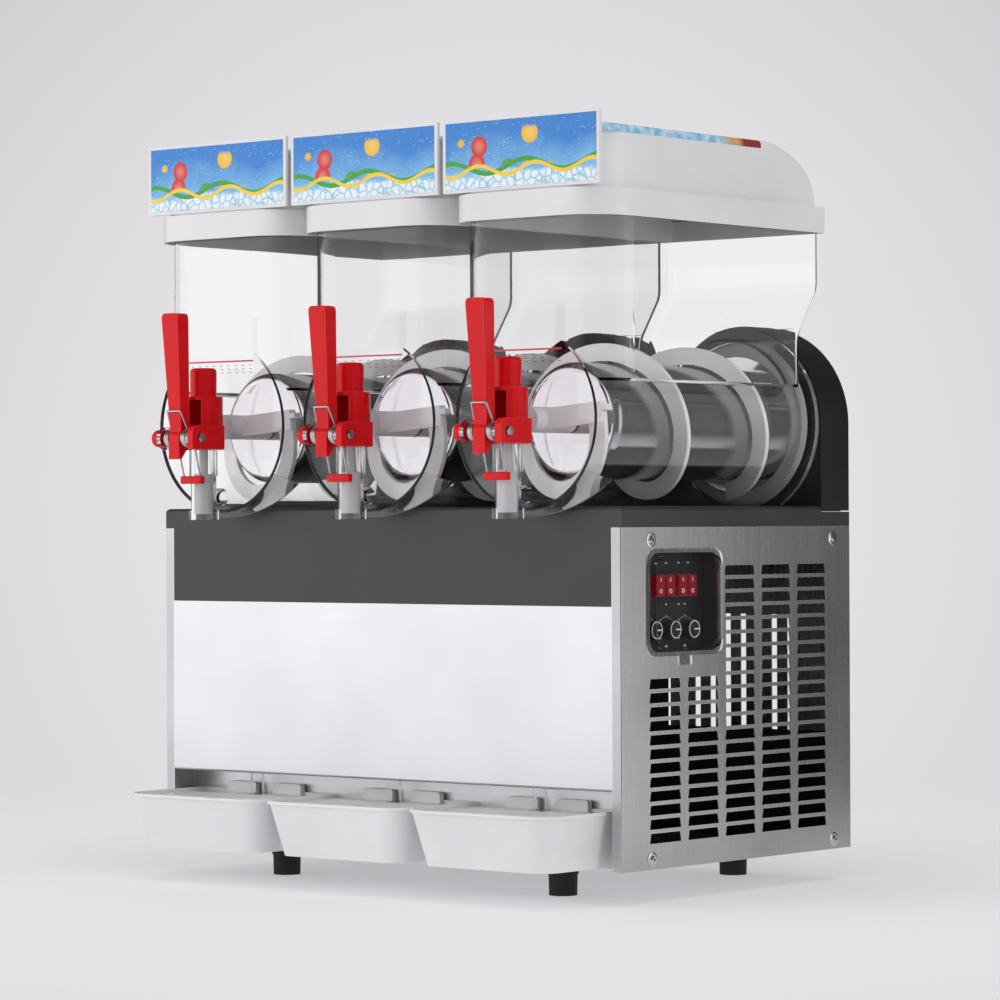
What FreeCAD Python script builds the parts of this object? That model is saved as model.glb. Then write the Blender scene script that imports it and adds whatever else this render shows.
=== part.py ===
import FreeCAD, Part
import math
import os
import Sketcher
from FreeCAD import Placement, Rotation, Vector

doc = FreeCAD.newDocument("SlushieMachine")
sizes = doc.addObject("Spreadsheet::Sheet", "Sizes")

# Driving sizes in millimetres, grouped by the piece that they shape.
SIZES = [
    # overall
    ("base_width", 610, "width over the side panels"),
    ("base_depth", 381, "depth of the base"),
    ("tap_overhang", 93.5, "reach of the taps in front of the base"),
    ("lid_top", 762, "height of the sign tops"),
    ("station_margin", 1, "reach of the outer stations beyond the sides of the base"),
    ("arch_gap", 0.5, "gap from each arch to the middle between two stations"),
    ("bowl_axis_z", 467, "height of the auger axes"),
    ("run_gap", 0.3, "gap between pieces that slide or lie on curved faces"),
    # sheet metal of the base
    ("sheet", 1.2, "panel thickness"),
    ("pan_bottom", 31.6, "underside of the base"),
    ("pan_sheet", 2, "floor thickness"),
    ("panel_top", 362, "top edge of the side panels"),
    ("flange_width", 11.5, "front return of the side panels"),
    ("corner_bend", 2.4, "outer bend of the side panel corner"),
    ("recess_top", 108.7, "underside of the front panel"),
    ("recess_depth", 36, "set-back of the lower front panel"),
    ("arm_reach", 52, "tray arm length in front of the lower panel"),
    ("arm_width", 22, "tray arm width"),
    ("arm_spacing", 84, "distance between the two arms of a tray"),
    # louvres
    ("louvre_top_width", 46, "louvre width at its top edge"),
    ("louvre_bottom_width", 50, "louvre width at its bottom edge"),
    ("louvre_height", 9.8, "louvre height"),
    ("louvre_row_pitch", 13.55, "row spacing"),
    ("louvre_column_pitch", 61, "column spacing"),
    ("louvre_first_z", 324, "top edge of the first row"),
    ("louvre_first_y", 68.8, "middle of the first column behind the front"),
    ("louvre_rows", 20, "rows"),
    ("louvre_columns", 5, "columns"),
    ("louvre_short_rows", 12, "rows under the controls"),
    ("louvre_short_columns", 2, "columns under the controls"),
    ("vent_slots", 24, "slots in the rear panel"),
    ("vent_pitch", 20, "spacing of the rear slots"),
    ("vent_width", 7, "width of a rear slot"),
    ("vent_bottom", 90, "lower end of the rear slots"),
    ("vent_height", 180, "height of the rear slots"),
    # deck and fascia
    ("deck_top", 382.5, "top face of the deck"),
    ("fascia_bottom", 286, "bottom edge of the fascia"),
    ("deck_wall", 3, "side wall of the deck moulding"),
    ("deck_skin", 8, "thickness of the deck's top"),
    ("deck_edge_round", 4, "rounding of the front top edge"),
    # rear housing
    ("housing_depth", 49.5, "depth of the housing"),
    ("housing_wall", 2.5, "wall of the housing"),
    ("housing_foot", 377, "lower edge of the housing"),
    ("cover_depth", 16, "depth of the rear cover behind the seam"),
    ("seam_step", 0.8, "set-in of the rear cover at the seam"),
    # bowls
    ("bowl_radius", 88.65, "outer radius of the round lower part"),
    ("bowl_front", 20.5, "reach of the bowl in front of the base"),
    ("bowl_round_depth", 304.5, "rear end of the round part behind the front"),
    ("bowl_upper_depth", 337.5, "rear wall of the upper part"),
    ("bowl_gap", 6, "gap from each bowl to the middle between two stations"),
    ("bowl_ledge", 503, "height where the upper part begins"),
    ("bowl_step_low", 556, "foot of the sloping rear step"),
    ("bowl_step_high", 603, "head of the sloping rear step"),
    ("bowl_corner", 50, "front corner rounding of the upper part"),
    ("bowl_rear_corner", 8, "rear corner rounding of the upper part"),
    ("bowl_step_round", 26, "rounding of the rear step"),
    ("bowl_wall", 3, "wall of the bowl"),
    ("flange_gap", 3.4, "gap from each rear flange to the middle between two stations"),
    ("flange_depth", 6, "thickness of the rear flange"),
    # lids
    ("lid_rim_bottom", 661.5, "lower edge of the lid"),
    ("lid_shelf", 688, "top of the lid rim"),
    ("lid_roof", 750, "top of the lid box"),
    ("lid_gap", 1.5, "gap from each lid rim to the middle between two stations"),
    ("lid_front", 31.5, "reach of the rim in front of the base"),
    ("lid_rear", 342, "rear edge of the rim behind the front"),
    ("lid_corner", 50, "front corner rounding of the rim"),
    ("lid_rear_corner", 3.5, "rear corner rounding of the rim"),
    ("lid_inset", 7, "set-in of the box from the rim"),
    ("fall_depth", 54, "depth of the sloping rear of the roof"),
    ("fall_height", 36, "drop of the sloping rear of the roof"),
    ("fall_head_round", 122, "rounding where the roof begins to fall"),
    ("fall_foot_round", 46, "rounding where the fall meets the rear wall"),
    ("lid_edge_round", 5, "rounding of the box edges"),
    ("lid_wall", 2.5, "wall of the lid"),
    ("sign_front", 26.5, "reach of the sign plane in front of the base"),
    ("sign_gap", 3.8, "gap from each sign to the middle between two stations"),
    ("sign_bottom", 690, "lower edge of the sign board"),
    ("sign_depth", 4, "thickness of the sign board"),
    ("sign_round", 1, "rounding of the sign board's corners"),
    # evaporator, seal and drive
    ("barrel_radius", 57.5, "outer radius of the barrel"),
    ("barrel_front", 48.5, "front face of the barrel behind the front"),
    ("barrel_nose_round", 9, "rounding of the barrel's front edge"),
    ("barrel_wall", 2.5, "wall of the barrel"),
    ("barrel_collar_radius", 70, "stepped collar at the rear"),
    ("barrel_collar_depth", 12, "length of the stepped collar"),
    ("seal_lip", 3, "bevel of the seal's lip"),
    ("seal_depth", 10, "length of the bowl seal"),
    ("shaft_radius", 8, "drive shaft radius"),
    ("shaft_bore_gap", 0.8, "gap round the drive shaft"),
    ("shaft_fit", 0.05, "gap of the shaft in the auger hub"),
    ("shaft_engagement", 10, "length of the shaft in the gearbox"),
    ("gearbox_side", 96, "side of the gearbox"),
    ("gearbox_depth", 20, "depth of the gearbox"),
    ("motor_depth", 22, "depth of the motor"),
    ("motor_radius", 32, "motor radius"),
    # auger
    ("auger_radius", 77.5, "outer radius of the helix"),
    ("auger_inner_radius", 60, "inner radius of the helix"),
    ("auger_pitch", 131, "pitch of the helix"),
    ("auger_blade", 5.5, "blade thickness"),
    ("auger_front", 0.5, "front end of the helix behind the front"),
    ("auger_length", 295, "length of the helix"),
    ("auger_start_angle", 5, "turn of the helix start above the horizontal"),
    ("hub_radius", 12.7, "hub radius"),
    ("hub_nose", 15, "reach of the hub in front of the base"),
    ("hub_gap", 2, "gap between the hub and the barrel"),
    ("paddle_tip_set_in", 1, "set-in of the arm from the helix's outer edge"),
    ("paddle_width", 20, "width of the front arm"),
    ("paddle_depth", 9, "depth of the front arm"),
    ("nub_reach", 5.5, "reach of the wiping nub outside the helix"),
    ("nub_low", 0.8, "underside of the nub above the arm's middle"),
    ("nub_height", 5.5, "height of the nub"),
    # tap
    ("tap_axis", 46.5, "spout axis in front of the base"),
    ("spout_radius", 13, "outer radius of the spout tube"),
    ("spout_bore", 10.4, "bore of the spout tube"),
    ("spout_bottom", 371, "lower end of the spout"),
    ("spout_top", 443, "upper end of the spout"),
    ("spout_lip_radius", 15.5, "lip at the lower end"),
    ("spout_lip_height", 10, "height of the lip"),
    ("spout_collar_radius", 14.7, "wider upper stretch of the spout"),
    ("spout_collar_bottom", 416, "foot of the wider stretch"),
    ("duct_radius", 9.5, "outer radius of the duct from the bowl"),
    ("duct_bore", 7, "bore of the duct"),
    ("duct_z", 394, "height of the duct"),
    ("pivot_reach", 80.5, "lever pivot in front of the base"),
    ("pivot_z", 454.5, "height of the lever pivot"),
    ("pivot_radius", 3, "pivot bolt radius"),
    ("ear_outer", 30, "outer face of the ears from the station plane"),
    ("ear_thickness", 7, "thickness of each ear"),
    ("ear_lug_radius", 9, "radius of the left ear's lug"),
    ("nut_radius", 5, "radius of the pivot nut"),
    ("nut_height", 2.5, "depth of the nut pocket"),
    ("nut_stand", 2, "height of the nut outside its pocket"),
    ("bolt_head_height", 5, "height of the domed bolt head"),
    ("bolt_face_radius", 5.4, "flat face of the bolt head"),
    ("pivot_fit", 0.1, "gap round the fixed bolt"),
    ("ear_top", 467.4, "top of the ears"),
    ("ear_round", 9, "rounding of the ears' front top edge"),
    ("tap_web_front", 64, "front of the web that joins the ears"),
    ("tap_neck_radius", 20, "radius of the middle block"),
    ("tap_neck_top", 497.5, "top of the middle block"),
    ("tap_cap_radius", 13.6, "radius of the upper cap"),
    ("tap_cap_top", 527, "top of the upper cap"),
    ("tap_cap_round", 4, "rounding of the cap's top"),
    ("tap_chamber_radius", 11.4, "chamber round the piston head"),
    ("tap_slot_half", 12, "half width of the fork slot"),
    ("tap_slot_top", 494, "top of the fork slot"),
    ("tap_chamber_top", 521, "top of the chamber"),
    ("washer_radius", 11.6, "radius of the pivot washers"),
    ("washer_thickness", 5, "thickness of the pivot washers"),
    ("piston_radius", 9.8, "piston radius"),
    ("piston_bottom", 377, "lower end of the piston"),
    ("piston_skirt_top", 418, "top of the piston skirt"),
    ("piston_rod_radius", 4.5, "rod radius"),
    ("piston_head_bottom", 461.5, "underside of the piston head"),
    ("piston_head_top", 467.5, "top of the piston head"),
    ("piston_head_radius", 9.5, "radius of the piston head"),
    # lever
    ("lever_top", 582, "top of the handle"),
    ("lever_top_width", 23, "width of the handle at its top"),
    ("lever_top_depth", 16, "depth of the handle at its top"),
    ("lever_hub_width", 14.5, "width of the lever at its hub"),
    ("lever_hub_radius", 9.5, "radius of the lever hub"),
    ("lever_root_depth", 12.8, "depth of the handle at its foot"),
    ("lever_lean", 9, "forward lean of the handle's top"),
    ("lever_tail_z", 433, "tip of the pointed tail"),
    ("lever_tail_tip", 4, "depth of the tail's tip"),
    ("lever_tail_back", 8.5, "rear corner of the tail behind the pivot"),
    ("lever_tail_drop", 3.8, "rear corner of the tail below the pivot"),
    ("lever_tip_round", 5, "rounding of the handle's top"),
    ("fork_thickness", 4, "thickness of the lifting fork"),
    ("fork_inner", 5.6, "clear half width between the fork's tines"),
    ("fork_root", 22, "start of the gap between the tines behind the pivot"),
    ("fork_shoulder_gap", 2, "gap between the coils and the wide part of the fork"),
    ("fork_half_width", 9.6, "half width of the fork"),
    ("fork_reach", 36, "reach of the fork behind the pivot"),
    # torsion spring and bar
    ("wire_radius", 1, "spring wire radius"),
    ("coil_radius", 9.6, "outer radius of the coils"),
    ("coil_bore", 7.6, "inner radius of the coils"),
    ("coil_length", 8, "length of each coil"),
    ("coil_gap", 0.6, "gap between the lever and each coil"),
    ("bar_gap", 0.5, "gap between the bar and the spout"),
    ("bar_half_width", 15, "half width of the red bar"),
    ("bar_bottom", 408, "underside of the red bar"),
    ("bar_height", 8, "height of the red bar"),
    ("bar_depth", 6, "depth of the red bar"),
    ("leg_offset", 11.5, "spring legs from the station plane"),
    # drip tray
    ("tray_side_gap", 20, "gap from the outer trays' half pitch to the sides of the base"),
    ("tray_gap", 2.5, "gap from each tray to the middle between two trays"),
    ("tray_front", 84.5, "front of the tray in front of the base"),
    ("tray_rear_gap", 2.5, "gap from the tray to the lower panel"),
    ("tray_top", 89, "top of the rim"),
    ("tray_draft", 13, "set-in of the sides at the bottom"),
    ("tray_corner", 26, "front corner rounding at the rim"),
    ("tray_low_corner", 20, "front corner rounding at the floor"),
    ("tray_wall", 2.4, "wall of the tray"),
    ("tray_rim_reach", 1.6, "overhang of the rim"),
    ("tray_rim_height", 3, "height of the rim"),
    ("tab_top", 97, "top of the rear tabs"),
    ("tab_inner", 12, "inner edge of each tab from the middle"),
    ("tab_width", 40, "width of each tab"),
    ("tab_depth", 6.7, "depth of each tab"),
    ("tab_round", 3, "rounding of the tab corners"),
    ("tab_root", 4, "reach of the tabs below the grille"),
    ("grille_sheet", 2.5, "thickness of the grille"),
    ("grille_top", 86, "top face of the grille"),
    ("grille_slot_width", 5, "width of a grille slot"),
    ("grille_slot_length", 70, "length of a grille slot"),
    ("grille_slot_pitch", 12, "spacing of the grille slots"),
    ("grille_slots", 6, "slots in each column of the grille"),
    ("drain_top_radius", 6.9, "upper radius of the drain tube"),
    ("drain_tip_radius", 8, "lower radius of the drain tube"),
    ("drain_wall", 1.4, "wall of the drain tube"),
    ("drain_tip", 80, "lower end of the drain tube"),
    ("drain_axis", 17.5, "drain tube axis behind the front"),
    ("drain_notch", 1.4, "clearance round the drain tube"),
    # controls
    ("control_front", 44.5, "front edge of the recess behind the front"),
    ("control_width", 112, "width of the recess"),
    ("control_bottom", 241, "lower edge of the recess"),
    ("control_height", 96.5, "height of the recess"),
    ("control_corner", 13, "corner rounding of the recess"),
    ("control_depth", 24, "depth of the recess"),
    ("control_wall", 2, "wall of the control housing"),
    ("knob_radius", 9.5, "knob radius"),
    ("knob_length", 12, "knob length"),
    ("knob_spacing", 30, "distance between the knobs"),
    ("knob_z", 262, "height of the knob row"),
    ("knob_stem_radius", 3, "knob stem radius"),
    ("rocker_width", 13, "rocker width"),
    ("rocker_height", 21, "rocker height"),
    ("rocker_depth", 8, "rocker depth"),
    ("rocker_z", 305, "height of the rocker row"),
    ("rocker_gap", 2.5, "gap between neighbouring rockers"),
    ("rocker_single", 38.75, "single rocker in front of the recess's middle"),
    ("rocker_pair", 35.65, "distance between the two pairs of rockers"),
    ("rocker_play", 0.5, "gap round each rocker"),
    ("cover_bulge", 7, "bulge of the clear cover"),
    ("cover_margin", 4, "overlap of the cover round the recess"),
    ("cover_rim", 7, "flat rim of the cover"),
    ("cover_sheet", 1.5, "wall of the clear cover"),
    ("cover_tab", 9, "length of the thumb tab"),
    # screws
    ("screw_radius", 4, "screw head radius"),
    ("screw_head", 2, "screw head height"),
    ("screw_face_radius", 2.8, "flat face of the screw head"),
    ("screw_washer", 5.5, "washer radius"),
    ("screw_washer_height", 0.8, "washer thickness"),
    ("screw_front", 47.5, "front screws behind the front"),
    ("screw_rear", 351, "rear screws behind the front"),
    ("screw_low", 41.7, "height of the lower screws"),
    ("screw_high", 350, "height of the upper screws"),
    # feet
    ("foot_radius", 15.5, "foot radius at the base"),
    ("foot_tip_radius", 14, "foot radius at the floor"),
    ("foot_rib", 1, "depth of the foot grooves"),
    ("foot_shoulder", 21, "height of the foot's shoulder"),
    ("foot_spacing", 372, "distance between left and right feet"),
    ("foot_front", 57.5, "front feet behind the front"),
    ("foot_rear", 338.5, "rear feet behind the front"),
    # refrigeration
    ("compressor_radius", 62, "compressor shell radius"),
    ("compressor_height", 150, "compressor height"),
    ("condenser_width", 250, "condenser width"),
    ("condenser_height", 200, "condenser height"),
    ("condenser_depth", 44, "condenser depth"),
    ("condenser_side", 12, "condenser face from the left side"),
    ("compressor_round", 26, "bevel of the compressor's top"),
    ("compressor_x", 60, "compressor axis from the middle"),
    ("fan_blades", 5, "blades of the fan"),
    ("fan_gap", 3, "gap round the fan"),
    ("fan_radius", 88, "fan radius"),
    ("fan_hub_radius", 22, "fan hub radius"),
    ("fan_depth", 24, "fan hub length"),
    ("fan_blade_heel", 70, "radius of a blade's rear corner"),
    ("fan_blade_tip", 84, "radius of a blade's tip"),
    ("fan_blade_front", 8, "front face of the blades along the hub"),
    ("fan_blade_rear", 16, "rear face of the blades along the hub"),
]
for row, (alias, number, note) in enumerate(SIZES, 1):
    sizes.set(f"A{row}", note)
    sizes.set(f"B{row}", str(number))
    sizes.setAlias(f"B{row}", alias)
doc.recompute()

FRONT = "((Sizes.tap_overhang - Sizes.base_depth) / 2)"
REAR = "((Sizes.tap_overhang + Sizes.base_depth) / 2)"
SIDE = "(Sizes.base_width / 2)"
AXIS_Z = "Sizes.bowl_axis_z"
FLOOR_TOP = "(Sizes.pan_bottom + Sizes.pan_sheet)"
STATIONS = (1, 2, 3)
PITCH = f"((Sizes.base_width + 2 * Sizes.station_margin) / {len(STATIONS)})"
TRAY_PITCH = f"((Sizes.base_width - 2 * Sizes.tray_side_gap) / {len(STATIONS)})"
ARCH_RADIUS = f"({PITCH} / 2 - Sizes.arch_gap)"
TRAY_HALF = f"({TRAY_PITCH} / 2 - Sizes.tray_gap)"
BOWL_TOP = "(Sizes.lid_shelf - Sizes.lid_wall - Sizes.run_gap)"
ALONG = {
    "x": Rotation(Vector(0, 1, 0), 90),
    "y": Rotation(Vector(1, 0, 0), -90),
    "z": Rotation(),
}
pieces = []


def value(rule):
    """Number that a sheet rule gives now."""
    return float(sizes.evalExpression(str(rule)))


def behind(distance):
    """Place behind the base's front plane."""
    return f"({FRONT} + ({distance}))"


def station_x(station, pitch=PITCH):
    return f"{pitch} * {station - 2}"


def put(item, x=None, y=None, z=None):
    for axis, rule in (("x", x), ("y", y), ("z", z)):
        if rule is not None:
            item.setExpression(f"Placement.Base.{axis}", str(rule))
    return item


def piece(item, label):
    """Name a finished sub-part and keep it for export."""
    item.Label = label
    pieces.append(item)
    return item


def box(name, x, y, z):
    """Block between pairs of rules along each axis."""
    item = doc.addObject("Part::Box", name)
    for size, axis, (start, end) in zip(("Length", "Width", "Height"), "xyz", (x, y, z)):
        item.setExpression(size, f"({end}) - ({start})")
        item.setExpression(f"Placement.Base.{axis}", str(start))
    return item


def rod(name, axis, radius, start, end, **centre):
    """Cylinder along one axis, from start to end."""
    item = doc.addObject("Part::Cylinder", name)
    item.Placement = Placement(Vector(), ALONG[axis])
    item.setExpression("Radius", str(radius))
    item.setExpression("Height", f"({end}) - ({start})")
    put(item, **{axis: start}, **centre)
    return item


def joined(name, items):
    item = doc.addObject("Part::MultiFuse", name)
    item.Shapes = items
    return item


def cut(name, base, tool):
    item = doc.addObject("Part::Cut", name)
    item.Base = base
    item.Tool = tool
    return item


def grouped(name, items):
    """Separate solids kept in one sub-part."""
    item = doc.addObject("Part::Compound", name)
    item.Links = items
    return item


def sketch_on(body, plane, offset=None):
    sketch = body.newObject("Sketcher::SketchObject", f"{body.Name}_sketch")
    support = next(item for item in body.Origin.OriginFeatures if item.Role == plane)
    sketch.AttachmentSupport = [(support, "")]
    sketch.MapMode = "FlatFace"
    if offset is not None:
        sketch.setExpression("AttachmentOffset.Base.z", str(offset))
    return sketch


def bind(sketch, kind, geometry, rule):
    """Add a constraint on a point or radius and bind it to a rule."""
    index = sketch.addConstraint(Sketcher.Constraint(kind, *geometry, value(rule)))
    sketch.setExpression(f"Constraints[{index}]", str(rule))


def polygon(sketch, corners):
    """Closed outline whose corners are pairs of rules."""
    first = sketch.GeometryCount
    count = len(corners)
    points = [Vector(value(u), value(v), 0) for u, v in corners]
    for index in range(count):
        sketch.addGeometry(Part.LineSegment(points[index], points[(index + 1) % count]))
    for index in range(count):
        after = first + (index + 1) % count
        sketch.addConstraint(Sketcher.Constraint("Coincident", first + index, 2, after, 1))
    for index, (u, v) in enumerate(corners, first):
        bind(sketch, "DistanceX", (-1, 1, index, 1), u)
        bind(sketch, "DistanceY", (-1, 1, index, 1), v)


def rectangle(sketch, u, v):
    polygon(sketch, [(u[0], v[0]), (u[1], v[0]), (u[1], v[1]), (u[0], v[1])])


def arc_corner(sketch, centre, radius, start_angle):
    """Quarter arc drawn anticlockwise from its start angle."""
    circle_line = Part.Circle(Vector(value(centre[0]), value(centre[1]), 0), Vector(0, 0, 1), value(radius))
    start = math.radians(start_angle)
    index = sketch.addGeometry(Part.ArcOfCircle(circle_line, start, start + math.pi / 2))
    bind(sketch, "Radius", (index,), radius)
    return index


def rounded_front(sketch, half, front, rear, radius):
    """Closed outline, square at the rear and rounded at its two front corners."""
    turn = f"({front} + {radius})"
    inset = f"({half} - {radius})"
    corners = [
        (half, rear), (f"-{half}", rear), (f"-{half}", turn),
        (f"-{inset}", front), (inset, front), (half, turn),
    ]
    arcs = {2: ((f"-{inset}", turn), 180), 4: ((inset, turn), 270)}
    points = [Vector(value(u), value(v), 0) for u, v in corners]
    for index, point in enumerate(points):
        if index in arcs:
            centre, angle = arcs[index]
            arc_corner(sketch, centre, radius, angle)
        else:
            sketch.addGeometry(Part.LineSegment(point, points[(index + 1) % len(points)]))
    for index, (u, v) in enumerate(corners):
        after = (index + 1) % len(corners)
        sketch.addConstraint(Sketcher.Constraint("Coincident", index, 2, after, 1))
        bind(sketch, "DistanceX", (-1, 1, index, 1), u)
        bind(sketch, "DistanceY", (-1, 1, index, 1), v)


def circle(sketch, u, v, radius):
    index = sketch.addGeometry(Part.Circle(Vector(value(u), value(v), 0), Vector(0, 0, 1), value(radius)))
    bind(sketch, "Radius", (index,), radius)
    bind(sketch, "DistanceX", (-1, 1, index, 3), u)
    bind(sketch, "DistanceY", (-1, 1, index, 3), v)


def new_body(name):
    return doc.addObject("PartDesign::Body", name)


def extrude(body, kind, plane, draw, start, end):
    """Pad or pocket between two rules along the plane's axis."""
    backwards = plane == "XZ_Plane"
    sketch = sketch_on(body, plane, f"-({start})" if backwards else start)
    draw(sketch)
    feature = body.newObject(f"PartDesign::{kind}", f"{body.Name}_{kind}")
    feature.Profile = sketch
    feature.setExpression("Length", f"({end}) - ({start})")
    feature.Reversed = backwards == (kind == "Pad")
    return feature


def pad(body, plane, draw, start, end):
    return extrude(body, "Pad", plane, draw, start, end)


def pocket(body, plane, draw, start, end):
    """Pocket that must remove material from the solid before it."""
    before = body.Tip
    feature = extrude(body, "Pocket", plane, draw, start, end)
    doc.recompute()
    if before.Shape.Volume - feature.Shape.Volume < 1e-3:
        raise RuntimeError(f"{feature.Name} cuts nothing")
    return feature


def revolve(body, plane, corners):
    """Turn an outline about the sketch's vertical axis."""
    sketch = sketch_on(body, plane)
    polygon(sketch, corners)
    feature = body.newObject("PartDesign::Revolution", f"{body.Name}_Revolution")
    feature.Profile = sketch
    feature.ReferenceAxis = (sketch, ["V_Axis"])
    feature.Angle = 360
    return feature


def round_edges(body, radius, chosen):
    """Fillet the edges of the body's tip that a test picks."""
    doc.recompute()
    base = body.Tip
    names = [f"Edge{index}" for index, edge in enumerate(base.Shape.Edges, 1) if chosen(edge)]
    if not names:
        raise RuntimeError(f"{body.Name} has no edge to round")
    feature = body.newObject("PartDesign::Fillet", f"{body.Name}_Fillet")
    feature.Base = (base, names)
    feature.setExpression("Radius", str(radius))
    return feature


def repeat(body, feature, direction, spacing, count, second=None):
    """Linear pattern of a feature along one or two sketch axes."""
    pattern = body.newObject("PartDesign::LinearPattern", f"{body.Name}_Pattern")
    pattern.Originals = [feature]
    pattern.Direction = (feature.Profile[0], [direction])
    pattern.setExpression("Length", f"{spacing} * ({count} - 1)")
    pattern.setExpression("Occurrences", str(count))
    if second:
        axis, gap, number = second
        pattern.Direction2 = (feature.Profile[0], [axis])
        pattern.setExpression("Length2", f"{gap} * ({number} - 1)")
        pattern.setExpression("Occurrences2", str(number))
    body.Tip = pattern
    return pattern


def runs_along(edge, axis):
    """True for a straight edge parallel to an axis."""
    spans = {"x": edge.BoundBox.XLength, "y": edge.BoundBox.YLength, "z": edge.BoundBox.ZLength}
    longest = spans.pop(axis)
    return longest > 1 and max(spans.values()) < 1e-3


def near(number, rule):
    return abs(number - value(rule)) < 1e-3


# ---- base -------------------------------------------------------------------------------

def make_base_pan():
    floor = box(
        "pan_floor",
        (f"-{SIDE} + Sizes.sheet", f"{SIDE} - Sizes.sheet"),
        (behind("Sizes.recess_depth"), f"{REAR} - Sizes.sheet"),
        ("Sizes.pan_bottom", FLOOR_TOP),
    )
    arms = []
    for station in STATIONS:
        for side in (-1, 1):
            middle = f"({station_x(station, TRAY_PITCH)} + {side} * Sizes.arm_spacing / 2)"
            arms.append(box(
                "tray_arm",
                (f"{middle} - Sizes.arm_width / 2", f"{middle} + Sizes.arm_width / 2"),
                (behind("Sizes.recess_depth - Sizes.arm_reach"), behind("Sizes.recess_depth")),
                ("Sizes.pan_bottom", FLOOR_TOP),
            ))
    piece(joined("pan", [floor] + arms), "base_pan")


def make_feet():
    feet = []
    for side in (-1, 1):
        for depth in ("Sizes.foot_front", "Sizes.foot_rear"):
            body = new_body("foot")
            shoulder = "Sizes.foot_shoulder"
            waist = "(Sizes.foot_radius - Sizes.foot_rib)"
            revolve(body, "XZ_Plane", [
                ("0", "0"),
                ("Sizes.foot_tip_radius", "0"),
                (waist, shoulder),
                ("Sizes.foot_radius", shoulder),
                ("Sizes.foot_radius", "Sizes.pan_bottom"),
                ("0", "Sizes.pan_bottom"),
            ])
            put(body, x=f"{side} * Sizes.foot_spacing / 2", y=behind(depth))
            feet.append(body)
    piece(grouped("feet_group", feet), "feet")


def louvre(sketch, column, row):
    """Trapezoid opening, narrower at its top edge."""
    middle = behind(f"Sizes.louvre_first_y + {column} * Sizes.louvre_column_pitch")
    top = f"(Sizes.louvre_first_z - {row} * Sizes.louvre_row_pitch)"
    bottom = f"({top} - Sizes.louvre_height)"
    polygon(sketch, [
        (f"{middle} - Sizes.louvre_bottom_width / 2", bottom),
        (f"{middle} + Sizes.louvre_bottom_width / 2", bottom),
        (f"{middle} + Sizes.louvre_top_width / 2", top),
        (f"{middle} - Sizes.louvre_top_width / 2", top),
    ])


def louvre_field(body, column, row, columns, rows):
    inner_face = f"{SIDE} - Sizes.sheet"
    first = pocket(body, "YZ_Plane", lambda sketch: louvre(sketch, column, row), inner_face, SIDE)
    field = repeat(
        body, first, "H_Axis", "Sizes.louvre_column_pitch", columns,
        ("V_Axis", "Sizes.louvre_row_pitch", rows),
    )
    field.Reversed2 = True


def side_panel(name, with_controls):
    """Right-hand panel: plate, front flange and the return beside the recess."""
    body = new_body(name)
    inner_face = f"({SIDE} - Sizes.sheet)"
    flange_edge = f"({SIDE} - Sizes.flange_width)"
    height = ("Sizes.pan_bottom", "Sizes.panel_top")
    pad(body, "YZ_Plane", lambda sketch: rectangle(sketch, (FRONT, REAR), height), inner_face, SIDE)
    pad(
        body, "XZ_Plane", lambda sketch: rectangle(sketch, (flange_edge, SIDE), height),
        FRONT, behind("Sizes.sheet"),
    )
    round_edges(
        body, "Sizes.corner_bend / 2",
        lambda edge: (
            runs_along(edge, "z") and near(edge.BoundBox.YMin, FRONT) and near(edge.BoundBox.XMin, SIDE)
        ),
    )
    pad(
        body, "YZ_Plane",
        lambda sketch: rectangle(
            sketch, (FRONT, behind("Sizes.recess_depth")), ("Sizes.pan_bottom", "Sizes.recess_top")
        ),
        flange_edge, f"{flange_edge} + Sizes.sheet",
    )
    if with_controls:
        short = "Sizes.louvre_short_columns"
        louvre_field(
            body, short, "0", "Sizes.louvre_columns - Sizes.louvre_short_columns", "Sizes.louvre_rows"
        )
        louvre_field(
            body, "0", "(Sizes.louvre_rows - Sizes.louvre_short_rows)", short, "Sizes.louvre_short_rows"
        )
        pocket(
            body, "YZ_Plane",
            lambda sketch: rectangle(
                sketch,
                (behind("Sizes.control_front"), behind("Sizes.control_front + Sizes.control_width")),
                ("Sizes.control_bottom", "Sizes.control_bottom + Sizes.control_height"),
            ),
            inner_face, SIDE,
        )
        round_edges(body, "Sizes.control_corner", is_control_corner)
    else:
        louvre_field(body, "0", "0", "Sizes.louvre_columns", "Sizes.louvre_rows")
    return body


def is_control_corner(edge):
    """Short corner edges of the recess, across the sheet or along X."""
    if not runs_along(edge, "x"):
        return False
    bounds = edge.BoundBox
    at_side = near(bounds.YMin, behind("Sizes.control_front"))
    at_side = at_side or near(bounds.YMin, behind("Sizes.control_front + Sizes.control_width"))
    at_end = near(bounds.ZMin, "Sizes.control_bottom")
    at_end = at_end or near(bounds.ZMin, "Sizes.control_bottom + Sizes.control_height")
    return at_side and at_end


def make_side_panels():
    piece(side_panel("right_panel", True), "side_panel_right")
    full = side_panel("full_panel", False)
    mirrored = doc.addObject("Part::Mirroring", "left_panel")
    mirrored.Source = full
    mirrored.Normal = Vector(1, 0, 0)
    piece(mirrored, "side_panel_left")


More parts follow.
